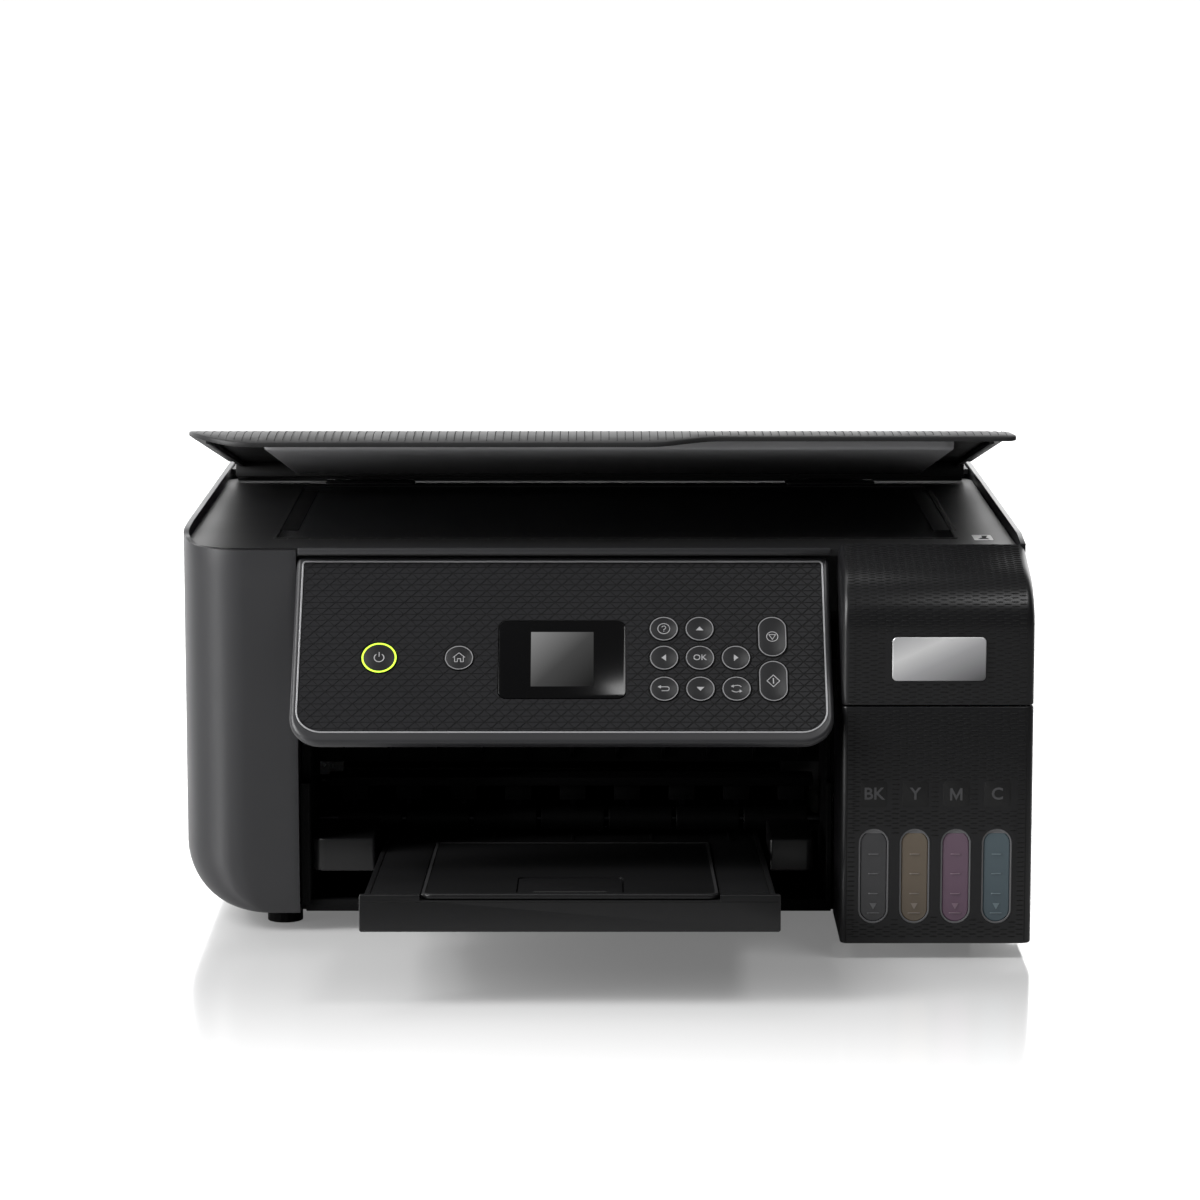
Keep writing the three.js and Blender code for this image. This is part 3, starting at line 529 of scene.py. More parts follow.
def repeat_tree():
    """Geometry Nodes: one small tapered block on every point, turned by the point's `turn`, then made real.

    Sides, Taper and Size give the block: four sides and no taper make a bar, three make a wedge-shaped pad,
    and many make a stud or a screw head."""
    tree = bpy.data.node_groups.new("repeat_block", "GeometryNodeTree")
    for name, kind in (("Points", "NodeSocketGeometry"), ("Sides", "NodeSocketInt"),
                       ("Taper", "NodeSocketFloat"),
                       ("Start", "NodeSocketFloat"), ("Size", "NodeSocketVector"),
                       ("Finish", "NodeSocketMaterial")):
        tree.interface.new_socket(name, in_out="INPUT", socket_type=kind)
    tree.interface.new_socket("Result", in_out="OUTPUT", socket_type="NodeSocketGeometry")
    given = add(tree, "NodeGroupInput")
    block = add(tree, "GeometryNodeMeshCone", {"Vertices": given.outputs["Sides"],
                                               "Radius Top": given.outputs["Taper"]},
                Radius_Bottom=1.0, Depth=1.0)
    start = add(tree, "ShaderNodeCombineXYZ", {"Z": given.outputs["Start"]})
    turned = add(tree, "GeometryNodeTransform", {"Geometry": block.outputs["Mesh"],
                                                 "Rotation": start.outputs[0]})
    sized = add(tree, "GeometryNodeTransform", {"Geometry": turned.outputs["Geometry"],
                                                "Scale": given.outputs["Size"]})
    turn = add(tree, "GeometryNodeInputNamedAttribute", data_type="FLOAT_VECTOR", Name="turn")
    grow = add(tree, "GeometryNodeInputNamedAttribute", data_type="FLOAT_VECTOR", Name="grow")
    laid = add(tree, "GeometryNodeInstanceOnPoints", {"Points": given.outputs["Points"],
               "Instance": sized.outputs["Geometry"], "Rotation": turn.outputs["Attribute"],
               "Scale": grow.outputs["Attribute"]})
    real = add(tree, "GeometryNodeRealizeInstances", {"Geometry": laid.outputs["Instances"]})
    coated = add(tree, "GeometryNodeSetMaterial", {"Geometry": real.outputs["Geometry"],
                 "Material": given.outputs["Finish"]})
    add(tree, "NodeGroupOutput", {"Result": coated.outputs["Geometry"]})
    return tree


REPEAT = repeat_tree()
BAR = (4, 0.8, math.radians(45))       # sides, taper and start angle of the repeated blocks
LENS = (6, 0.6, 0.0)
STUD = (20, 0.85, 0.0)


def repeat(name, points, form, size, material, body, place=WORLD, grow=None):
    """Lays a tapered block on a list of (x, y, z, turn). `size` is half its width and depth, and its
    height."""
    mesh = bpy.data.meshes.new(name)
    mesh.from_pydata([(place @ Vector(p[:3])) * MM for p in points], [], [])
    turns = mesh.attributes.new("turn", "FLOAT_VECTOR", "POINT")
    grows = mesh.attributes.new("grow", "FLOAT_VECTOR", "POINT")
    for i, point in enumerate(points):
        turns.data[i].vector = (place.to_3x3() @ point[3]).to_euler()
        grows.data[i].vector = grow[i] if grow else (1, 1, 1)
    obj = bpy.data.objects.new(name, mesh)
    bpy.context.scene.collection.objects.link(obj)
    modifier = obj.modifiers.new("repeat", "NODES")
    modifier.node_group = REPEAT
    ids = {item.name: item.identifier for item in REPEAT.interface.items_tree}
    modifier[ids["Sides"]] = form[0]
    modifier[ids["Taper"]] = form[1]
    modifier[ids["Start"]] = form[2]
    reach = math.sqrt(2) if form[0] == 4 else 1.0
    modifier[ids["Size"]] = (size[0] * reach * MM, size[1] * reach * MM, size[2] * MM)
    modifier[ids["Finish"]] = material
    settle(obj)
    if form[0] > 8:
        obj.data.shade_smooth()
        obj.data.set_sharp_from_angle(angle=EDGE_ANGLE)
    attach(obj, body)
    return obj


def facing(normal, along):
    """The turn that points a block's own Z along `normal` and its own X along `along`."""
    z = Vector(normal).normalized()
    x = (Vector(along) - z * z.dot(Vector(along))).normalized()
    return Matrix((x, z.cross(x), z)).transposed()


# ------------------------------------------------------------------------------------------ casing

HALF_WIDTH = 187.5
FRONT = cad_box[0][1] / MM + 214.885 - 132.115         # the front face of the tank unit
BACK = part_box("rear_cover")[1][1] / MM
RIM = 178.0
BOTTOM = 8.0
REAR_ROUND = 12                        # radius of the shells' rear corners
REAR_RIM = RIM - 4.1                   # top of the left shell's flat back, under the rear cover's edge
REAR_EDGES = (-172.2, -136.6,
              172.3)   # where that back steps down, where it ends, and the right shell's end


def at(depth):
    """Depth counted from the front face of the tank unit, as a Y of the shared frame."""
    return depth + FRONT


def wall_piece(name, columns, levels, material, slot, node, thick, keep=lambda column, level: True,
               edge=0.7):
    """A moulded wall as one sheet of columns and levels, given its thickness inwards and small edge
    radii."""
    verts = [columns(i, level) for level in levels for i in range(columns.count)]
    faces = []
    for row in range(len(levels) - 1):
        for i in range(columns.count - 1):
            if keep(i, row):
                a = row * columns.count + i
                faces.append((a, a + 1, a + 1 + columns.count, a + columns.count))
    obj = piece(name, verts, faces, material, "casing", slot, replaces=(node,))
    loose = bmesh.new()
    loose.from_mesh(obj.data)
    bmesh.ops.delete(loose, geom=[v for v in loose.verts if not v.link_faces], context="VERTS")
    loose.to_mesh(obj.data)
    loose.free()
    return finish_edges(obj, edge, 3, thick, -1.0)


def rim_height(depth):
    """The rim falls a little towards the front."""
    line = [(48, 172.6), (60, 173.1), (76, 175.4), (90, 177.4), (104, 178.0)]
    if depth <= line[0][0]:
        return line[0][1]
    for (y0, z0), (y1, z1) in zip(line, line[1:]):
        if depth <= y1:
            t = (depth - y0) / (y1 - y0)
            return z0 + (z1 - z0) * (t * t * (3 - 2 * t))
    return RIM


class LeftWall:
    """Columns round the left shell, from the panel's edge along the front, the corner, the side and
    the back."""

    inner = -134.0
    corner = 24
    count = 6 + corner + 1 + 14 + 6 + 2

    def __call__(self, i, level):
        z, lift, inset = level
        below = max(0.0, (28 - (z - BOTTOM)) / 28)
        sweep = 1 - math.sqrt(1 - min(1.0, below) ** 2)
        left = -HALF_WIDTH + (RIM - z) * 0.0044 + 25 * sweep + inset
        face = 48 + 5 * sweep + inset
        rx, ry = 30 - 14 * sweep - inset * 0.3, 38 - 14 * sweep - inset * 0.3
        back = 347 - inset
        if i < 6:
            x, y = self.inner + (left + rx - self.inner) * i / 6, face
        elif i <= 6 + self.corner:
            angle = math.radians(270 - 90 * (i - 6) / self.corner)
            x, y = left + rx + rx * math.cos(angle), face + ry + ry * math.sin(angle)
        elif i <= 6 + self.corner + 14:
            start = face + ry
            t = (i - 6 - self.corner) / 14
            x, y = left, start + (back - REAR_ROUND - start) * t ** 1.6
        elif i <= 26 + self.corner:
            angle = math.radians(180 - 90 * (i - 20 - self.corner) / 6)
            x, y = left + REAR_ROUND * (1 + math.cos(angle)), back - REAR_ROUND * (1 - math.sin(angle))
        elif i == 27 + self.corner:
            x, y = max(left + REAR_ROUND + 0.5, REAR_EDGES[0]), back
        else:
            x, y = REAR_EDGES[1], back
        rim = rim_height(y) if i <= 26 + self.corner else REAR_RIM
        top = z + (rim - z) * lift
        return (x, at(y), top)


def make_left_shell():
    curve = [BOTTOM + 28 * (1 - math.cos(math.radians(90 * k / 12))) for k in range(13)]
    levels = [(BOTTOM, 0, 7)] + [(z, 0, 0) for z in curve]
    levels += [(curve[-1], lift, 0) for lift in (0.12, 0.4, 0.7, 0.92, 1)]
    shell = wall_piece("shell_left", LeftWall(), levels, SATIN_GREY, "casing_plastic", "left_shell", 2.4,
                       edge=0.8)
    piece("shell_left_return", *box_solid((-136.3, -134.0), (at(50.4), at(72)), (12, 138.8), 0.4), BLACK,
          "casing",
          "black_plastic", replaces=("left_shell",))
    return shell


class RightWall:
    """Columns along the right shell: the front end, the side, the rear corner and the back."""

    count = 12 + 10 + 1

    def __call__(self, i, level):
        z, lift, inset = level
        below = max(0.0, (8 - (z - BOTTOM)) / 8)
        sweep = 8 * (1 - math.sqrt(1 - min(1.0, below) ** 2)) + inset
        x, back = HALF_WIDTH - sweep, 347 - sweep
        if i < 12:
            y = 47.7 if i == 0 else 58.4 + (back - REAR_ROUND - 58.4) * ((i - 1) / 11) ** 1.5
        elif i < 22:
            angle = math.radians(90 * (i - 11) / 10)
            x, y = x - REAR_ROUND * (1 - math.cos(angle)), back - REAR_ROUND * (1 - math.sin(angle))
        else:
            x, y = min(x - REAR_ROUND - 0.3, REAR_EDGES[2]), back
        top = RIM if y > 66 else 175.6 + 2.4 * (y - 47.7) / 18.3
        return (x, at(y), z + (top - z) * lift)


def make_right_shell():
    curve = [BOTTOM + 8 * (1 - math.cos(math.radians(90 * k / 6))) for k in range(7)]
    levels = [(BOTTOM, 0, 8)] + [(z, 0, 0) for z in curve] + [(112.3, 0, 0)]
    levels += [(112.3, lift, 0) for lift in (0.5, 1)]
    wall_piece("shell_right", RightWall(), levels, TANK_BLACK, "black_plastic", "right_shell", 2.4,
               keep=lambda column, row: column > 0 or row >= 8, edge=0.6)


make_left_shell()
make_right_shell()

# ------------------------------------------------------------------------------------------ ink tank unit

TANK_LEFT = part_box("tank_housing")[0][0] / MM
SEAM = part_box("tank_housing")[1][2] / MM
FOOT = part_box("tank_housing")[0][2] / MM
COVER_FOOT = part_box("tank_cover")[0][2] / MM
INK_ORDER = ("black", "yellow", "magenta", "cyan")
WINDOW = (15.6, 57.8)                  # the foot and head of the level windows
WINDOW_HALF = 6.65
DASH_FIELD = (107.4, 184.0)            # the band of relief between the two smooth borders
DASH_PITCH = 6.8
DASH_ROW = 1.07
PROFILE = [(0, COVER_FOOT), (0, 120), (0, 130), (0, 140), (0, 145), (0.15, 147.6), (0.7, 150.1),
           (1.4, 152.3),
           (2.4, 154.4), (3.7, 156.3), (5.3, 158.2), (7.2, 160.2), (9.4, 162.0), (11.9, 163.6),
           (14.6, 165.1),
           (19, 166.9), (24, 168.4), (30, 170.0), (36, 171.6), (42, 173.4), (47.1, 175.5)]


def ink_x(ink):
    low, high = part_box("ink_tank_" + ink)
    return (low[0] + high[0]) / 2 / MM


def mitred(points):
    """A closed outline, wound anticlockwise, as a rule for insets."""
    flat = [Vector(p) for p in points]
    count = len(flat)
    shifts = []
    for i, here in enumerate(flat):
        first = (here - flat[i - 1]).normalized()
        second = (flat[(i + 1) % count] - here).normalized()
        inward = Vector((-(first + second).y, (first + second).x)).normalized()
        shifts.append(inward / max(0.5, inward.dot(Vector((-first.y, first.x)))))
    return lambda inset: [tuple(p + s * inset) for p, s in zip(flat, shifts)]


def window_outline(x, grow=0.0):
    middle = (WINDOW[0] + WINDOW[1]) / 2
    rise = (WINDOW[1] - WINDOW[0]) / 2 - WINDOW_HALF
    return circle_inset((x, middle), WINDOW_HALF + grow, rise, 48)


def make_tank_housing():
    plan = rounded_inset((TANK_LEFT, HALF_WIDTH), (at(0), at(58)), [3, 4, 0.4, 0.4], 8)
    body = piece("tank_housing_shell", *slab(plan, FOOT, SEAM, "Z", 0.7), TANK_BLACK, "casing",
                 "tank_face_plastic",
                 replaces=("tank_housing",))
    hollow = rounded_inset((TANK_LEFT + 2.4, HALF_WIDTH - 2.4), (at(2.4), at(70)), [1.5, 2, 0.4, 0.4])
    tools = [tool_solid(*slab(hollow, 100, SEAM + 2, "Z")),
             tool_solid(*slab(hollow, FOOT + 1.8, 98, "Z"))]
    for ink in INK_ORDER:
        hole = window_outline(ink_x(ink))
        tools.append(tool_solid(*stacked(hole, [(0, at(-2)), (0, at(4))], "Y")))
        tools.append(tool_solid(*stacked(circle_inset((ink_x(ink), at(34)), 5.8, 0, 32),
                                         [(0, 90), (0, 104)], "Z")))
    cut(body, *tools)
    for ink in INK_ORDER:
        make_window(ink)
    rows = [SEAM - 2.1 - DASH_ROW * k for k in range(int((SEAM - FOOT - 3.4) / DASH_ROW))]
    points = []
    for k, z in enumerate(rows):
        points += dash_row(k, (at(0), z), (0, -1, 0))
    repeat("tank_housing_relief", points, LENS, (1.95, 0.36, 0.2), GROOVE, "casing")
    lines = [(x, at(-0.02), (SEAM + FOOT) / 2, facing((0, -1, 0), (0, 0, 1))) for x in (106.9, 184.5)]
    repeat("tank_housing_border", lines, BAR, ((SEAM - FOOT) / 2 - 1.2, 0.14, 0.1), GROOVE, "casing")


def blocked(x, z, reach=1.9):
    """Whether a dash would run into a window, a letter tile or the name plate."""
    for ink in INK_ORDER:
        away = abs(x - ink_x(ink))
        if away < WINDOW_HALF + reach and WINDOW[0] - 1.2 < z < WINDOW[1] + 1.2:
            side = max(0.0, abs(z - sum(WINDOW) / 2) - (WINDOW[1] - WINDOW[0]) / 2 + WINDOW_HALF)
            if math.hypot(max(0.0, away - reach), side) < WINDOW_HALF + 0.7:
                return True
        if away < 5.65 + reach and 66.6 < z < 79.4:
            return True
    return BADGE_X[0] - reach < x < BADGE_X[1] + reach and BADGE_Z[0] - 0.7 < z < BADGE_Z[1] + 0.7


BADGE_X = (125.9, 166.3)
BADGE_Z = (122.8, 141.9)
# The badge's foil carries a painted reflection and a painted highlight.
BADGE_PAINTED_REFLECTION = foil("silver_foil_painted_reflection", *zip(BADGE_X, BADGE_Z))


def dash_row(k, spot, normal):
    """One row of the staggered relief, from border to border."""
    points = []
    x = DASH_FIELD[0] + 0.2 + (k % 2) * DASH_PITCH / 2
    while x < DASH_FIELD[1]:
        here = min(max(x, DASH_FIELD[0] + 1.5), DASH_FIELD[1] - 1.5)
        if not blocked(here, spot[1]):
            points.append((here, spot[0], spot[1], facing(normal, (1, 0, 0))))
        x += DASH_PITCH
    return points


def make_window(ink):
    """A level window: the clear tank wall with its pale cut rim, and moulded marks over the ink."""
    x = ink_x(ink)
    outline = window_outline(x)
    face = at(0.35)
    rim = piece(f"window_rim_{ink}", *band(outline, 0.85, 0.05, face + 2.0, face - 0.1, "Y"), CLEAR_RIM,
                "casing",
                "white_plastic")
    finish_edges(rim, 0.15, 2)
    head = WINDOW[1] - 1.9
    flat = [(u, min(v, head)) for u, v in outline(0.85)]
    tidy = [p for i, p in enumerate(flat) if math.dist(p, flat[i - 1]) > 0.02]
    glass = piece(f"window_glass_{ink}", *stacked(mitred(tidy), [(0, face + 1.8), (0, face + 0.55), (0.5,
                        face + 0.2)], "Y"),
                  INKS[ink], "casing", "ink_" + ink)
    cap = [(u, v) for u, v in outline(0.85) if v > head - 0.4]
    piece(f"window_head_{ink}", *stacked(mitred(cap), [(0, face + 1.8), (0, face + 0.35)], "Y"),
          CLEAR_RIM, "casing",
          "white_plastic")
    marks = [(x, face + 0.16, z, facing((0, -1, 0), (1, 0, 0))) for z in (46.4, 37.75, 28.9)]
    repeat(f"window_marks_{ink}", marks, BAR, (2.15, 0.22, 0.3), MARKS[ink], "casing")
    low = [(x, face + 0.16, 20.3, facing((0, -1, 0), (1, 0, 0)))]
    repeat(f"window_low_line_{ink}", low, BAR, (2.65, 0.2, 0.3), MARKS[ink], "casing")
    triangle = [(x - 1.5, 24.6), (x, 21.9), (x + 1.5, 24.6)]
    piece(f"window_low_mark_{ink}", *filled(triangle, face + 0.0, face + 0.3), MARKS[ink], "casing",
          "ink_" + ink)
    return glass


def make_tank_cover():
    outline = [(at(y), z) for y, z in PROFILE] + [(at(47.1), COVER_FOOT)]
    ring = mitred(list(reversed(outline)))
    levels = []
    for i in range(7):
        turn = math.pi / 2 * i / 6
        levels.append((3 * (1 - math.sin(turn)), TANK_LEFT + 3 * (1 - math.cos(turn))))
    for i in range(7):
        turn = math.pi / 2 * i / 6
        levels.append((4 * (1 - math.cos(turn)), HALF_WIDTH - 4 * (1 - math.sin(turn))))
    # only the front edges are rounded so far: the foot stays at the seam
    verts, faces = stacked(ring, levels, "X")
    verts = [(x, min(y, at(47.1)), COVER_FOOT if z < COVER_FOOT + 4.2 and y > at(3.9) else z) for x, y,
             z in verts]
    verts = [(x, y, max(z, COVER_FOOT) if z > COVER_FOOT + 4.2 else COVER_FOOT) for x, y, z in verts]
    cover = piece("tank_cover_shell", verts, faces, TANK_BLACK, "tank_cover", "tank_face_plastic",
                  replaces=("tank_cover",))
    inner = [(at(y + 2.4), z - (2.4 if y else 0)) for y, z in PROFILE]
    inner = [(at(2.4), COVER_FOOT - 5)] + inner[1:] + [(at(60), 173.1), (at(60), COVER_FOOT - 5)]
    hollow = stacked(mitred(list(reversed(inner))), [(0, TANK_LEFT + 2.4), (0, HALF_WIDTH - 2.4)], "X")
    cut(cover, tool_solid(*hollow))
    points = []
    k, left_over = 0, 1.3
    for (y0, z0), (y1, z1) in zip(PROFILE, PROFILE[1:]):
        length = math.hypot(y1 - y0, z1 - z0)
        while left_over < length:
            t = left_over / length
            points += dash_row(k, (at(y0 + (y1 - y0) * t), z0 + (z1 - z0) * t), (0, -(z1 - z0), y1 - y0))
            k += 1
            left_over += DASH_ROW
        left_over -= length
    repeat("tank_cover_relief", points, LENS, (1.95, 0.36, 0.2), GROOVE, "tank_cover")
    badge = rounded_inset(BADGE_X, BADGE_Z, [2.1] * 4, 8)
    # The badge's pale-to-grey shading is a painted reflection.
    piece("tank_cover_badge", *stacked(badge, [(0, at(0.1)), (0, at(-0.5)), (0.25, at(-0.75))], "Y"),
          BADGE_PAINTED_REFLECTION,
          "tank_cover", "white_plastic")
    piece("tank_cover_badge_rim", *band(badge, 0.5, -0.35, at(0.1), at(-0.4), "Y"), GROOVE, "tank_cover",
                "black_plastic")
    return cover


def text_shape(name, words, size, spot, material, body, slot, place=WORLD, depth=0.12, bold=0.0):
    """Raised lettering that faces the local -Y, centred on (x, z) with its face at the given y."""
    curve = bpy.data.curves.new(name, "FONT")
    curve.body = words
    curve.size = size
    curve.align_x = "CENTER"
    curve.align_y = "CENTER"
    curve.extrude = depth / 2
    curve.offset = bold
    curve.resolution_u = 4
    obj = bpy.data.objects.new(name, curve)
    bpy.context.scene.collection.objects.link(obj)
    bpy.context.view_layer.update()
    mesh = bpy.data.meshes.new_from_object(obj.evaluated_get(bpy.context.evaluated_depsgraph_get()))
    bpy.data.objects.remove(obj)
    bpy.data.curves.remove(curve)
    verts = [(v.co.x + spot[0], spot[1] - v.co.z, v.co.y + spot[2]) for v in mesh.vertices]
    faces = [tuple(p.vertices) for p in mesh.polygons]
    bpy.data.meshes.remove(mesh)
    return piece(name, verts, faces, material, body, slot, place, flat=True)


def make_ink_tiles():
    for ink, letters, x in zip(INK_ORDER, ("BK", "Y", "M", "C"), (118.6, 136.5, 154.2, 172.0)):
        tile = rounded_inset((x - 5.65, x + 5.65), (67.2, 78.8), [1.5] * 4, 6)
        piece(f"ink_tile_{ink}", *stacked(tile, [(0, at(0.3)), (0, at(-0.12)), (0.2, at(-0.2))], "Y"),
              TILE, "casing",
              "black_plastic")
        if letters == "M":
            bars = [stroke([(x + side * 2.2, 70.3), (x + side * 2.2, 75.7)], 0.95, at(-0.18),
                           at(-0.3)) for side in (-1, 1)]
            bars.append(stroke([(x - 2.1, 75.4), (x, 71.3), (x + 2.1, 75.4)], 0.95, at(-0.18), at(-0.31)))
            piece(f"ink_letters_{ink}", *merged(*bars), LETTER, "casing", "grey_plastic", flat=True)
            continue
        text_shape(f"ink_letters_{ink}", letters, 7.4, (x, at(-0.24), 73.0), LETTER, "casing",
                   "grey_plastic", bold=0.14)


CLEAR_RIM = new_material("cut_edge_of_clear_polystyrene", "6e6e70", 0.25, Coat_Weight=0.5,
                         Coat_Roughness=0.1)[0]
LETTER = new_material("tampo_printed_letter_grey", "4c4c4e", 0.5)[0]
MARKS = {ink: new_material("moulded_mark_" + ink, code, 0.3)[0] for ink, code in
         (("black", "6c6c6e"), ("yellow", "8b8178"), ("magenta", "8a7482"), ("cyan", "738389"))}

make_tank_housing()
make_tank_cover()
make_ink_tiles()

# ------------------------------------------------------------------------------------------ control panel

PANEL_LOW, PANEL_HIGH = local_box("panel_housing", PANEL)
PANEL_X = (-133.7, 100.7)
PANEL_TOP = 3.0
PANEL_LENGTH = 96.6
PANEL_FACE = -5.0                      # local depth of the frame's front
KEY_NAMES = ("power", "home", "help", "up", "left", "ok", "right", "back", "down", "settings", "stop",
             "start")
KEY_RISE = {"stop": 4.1, "start": 4.1}
DISPLAY_X = (-44.0, 11.0)
DISPLAY_DOWN = (34.0, 74.0)
CELL = (6.0, 3.08)                      # base and height of one triangle of the relief


def down(distance):
    return PANEL_TOP - distance


def panel_outline(inset, low, radius, steps=12):
    u = (PANEL_X[0] + inset, PANEL_X[1] - inset)
    v = (down(PANEL_LENGTH - low), down(inset))
    return rounded_inset(u, v, [radius, radius, 2, 2], steps)


def key_place(name):
    """The centre and the radius of a key, in the panel's frame."""
    low, high = local_box("button_" + name, PANEL)
    return ((low.x + high.x) / 2, (low.z + high.z) / 2), (high.x - low.x) / 2 - 0.8


def key_outline(name, grow=0.0, steps=48):
    centre, radius = key_place(name)
    return circle_inset(centre, radius + grow, KEY_RISE.get(name, 0.0), steps)


def display_outline(grow=0.0):
    u = (DISPLAY_X[0] - grow, DISPLAY_X[1] + grow)
    v = (down(DISPLAY_DOWN[1]) - grow, down(DISPLAY_DOWN[0]) + grow)
    return rounded_inset(u, v, [3.5 + grow] * 4, 8)


def make_panel_housing():
    outer = panel_outline(0, 0, 14)
    levels = []
    for i in range(7):
        turn = math.pi / 2 * i / 6
        levels.append((2.0 * (1 - math.sin(turn)), PANEL_FACE + 2.0 * (1 - math.cos(turn))))
    levels += [(0.0, -1.6), (0.4, -1.2)]
    housing = piece("panel_frame", *stacked(outer, levels, "Y"), FRAME_GREY, "panel", "panel_plastic",
                    PANEL,
                    replaces=("panel_housing",))
    recess = stacked(panel_outline(2.5, 5, 11.5), [(0, PANEL_FACE - 2), (0, PANEL_FACE + 2.4)], "Y")
    hollow = stacked(panel_outline(5, 8, 9), [(0, PANEL_FACE + 2), (0, PANEL_FACE + 11.6)], "Y")
    cut(housing, tool_solid(*recess, PANEL), tool_solid(*hollow, PANEL))
    # The frame's side is the same grey plastic. It is drawn as a separate near-black band: painted shade for
    # the side in shadow.
    piece("panel_skirt_painted_shade", *band(panel_outline(0, 0, 14), 10.8, 9.6, PANEL_FACE + 2, 9.0, "Y"), INNER,
          "panel",
          "panel_plastic", PANEL, replaces=("panel_housing",))
    rim = panel_outline(2.5, 5, 11.5)
    inlay = piece("panel_inlay", *band(rim, 0.75, 0.05, PANEL_FACE + 0.8, PANEL_FACE - 0.12, "Y"), INLAY,
                  "panel",
                  "grey_plastic", PANEL)
    finish_edges(inlay, 0.1, 2)
    pins = merged(stacked(circle_inset((0, 0), 3, 0, 24), [(0.4, -132), (0, -131.6), (0, -128)], "X"),
                  stacked(circle_inset((0, 0), 3, 0, 24), [(0, 95), (0, 98.6), (0.4, 99)], "X"))
    piece("panel_pivots", *pins, BLACK, "panel", "black_plastic", PANEL, replaces=("panel_housing",))


def make_panel_face():
    top = PANEL_FACE + 0.42
    plate = panel_outline(2.9, 5.4, 11.1)
    face = piece("panel_face_plate", *stacked(plate, [(0, PANEL_FACE + 2.05), (0, top)], "Y"), GROOVE,
                 "panel",
                 "panel_plastic", PANEL, replaces=("panel_face",))
    holes = [stacked(key_outline(name, 0.3), [(0, top - 2), (0, top + 4)], "Y") for name in KEY_NAMES]
    holes.append(stacked(display_outline(0.25), [(0, top - 2), (0, top + 4)], "Y"))
    cut(face, *[tool_solid(*hole, PANEL) for hole in holes])
    make_panel_relief(top)


def make_panel_relief(top):
    """Rows of triangular pads between sunk lines, trimmed to the keys, the display and the plate's outline.
    The lines widen towards the right so that more of the black plate shows there: painted shade."""
    thick = 0.2
    low, high = down(PANEL_LENGTH - 5.4), down(2.9)
    rows = int((high - low) / CELL[1]) + 2
    columns = int((PANEL_X[1] - PANEL_X[0]) / CELL[0]) + 3
    verts, faces = [], []
    for row in range(rows):
        foot = low - 1.0 + row * CELL[1]
        for column in range(2 * columns):
            x = PANEL_X[0] + (column - 1) * CELL[0] / 2 + (row % 2) * CELL[0] / 2
            points = [(x - CELL[0] / 2, foot), (x + CELL[0] / 2, foot), (x, foot + CELL[1])]
            if column % 2:
                points = [(x + CELL[0] / 2, foot + CELL[1]), (x - CELL[0] / 2, foot + CELL[1]), (x, foot)]
            # The gaps widen from left to right, so more black plate shows: painted shade on the panel's right
            # side.
            across = (x - PANEL_X[0]) / (PANEL_X[1] - PANEL_X[0])
            half_line_with_painted_shade = 0.11 + 0.17 * min(1.0, max(0.0, across))
            ring = mitred(points)
            more = stacked(ring, [(half_line_with_painted_shade, top + 0.06), (half_line_with_painted_shade + 0.05, top - thick)], "Y")
            faces += [tuple(i + len(verts) for i in f) for f in more[1]]
            verts += more[0]
    pads = piece("panel_relief", verts, faces, FACE, "panel", "panel_plastic", PANEL, flat=True)
    field = panel_outline(3.5, 6.0, 10.4)
    keep = tool_solid(*stacked(field, [(0, top - 1), (0, top + 1)], "Y"), PANEL)
    trim = pads.modifiers.new("field", "BOOLEAN")
    trim.operation = "INTERSECT"
    trim.solver = "EXACT"
    trim.object = keep
    settle(pads)
    bpy.data.objects.remove(keep)
    holes = [stacked(key_outline(name, 0.75), [(0, top - 2), (0, top + 2)], "Y") for name in KEY_NAMES]
    holes.append(stacked(display_outline(0.35), [(0, top - 2), (0, top + 2)], "Y"))
    tools = [tool_solid(*hole, PANEL) for hole in holes]
    merged_tool = tools[0]
    bpy.ops.object.select_all(action="DESELECT")
    for tool in tools:
        tool.select_set(True)
    bpy.context.view_layer.objects.active = merged_tool
    bpy.ops.object.join()
    cut(pads, merged_tool)
    pads.data.shade_flat()


ICON = 0.3                             # width of the printed lines on the keys


def triangle_sign(way, size=1.75):
    turn = {"up": 90, "down": -90, "left": 180, "right": 0}[way]
    angle = math.radians(turn)
    points = [(size * 0.62, 0), (-size * 0.5, size * 0.95), (-size * 0.5, -size * 0.95)]
    spun = [(u * math.cos(angle) - v * math.sin(angle), u * math.sin(angle) + v * math.cos(angle)) for u,
            v in points]
    return ("fill", spun)


def arrow_head(x, z, way, size=0.85):
    return ("fill", [(x + way * size, z), (x - way * size * 0.6, z + size), (x - way * size * 0.6,
                                                                             z - size)])


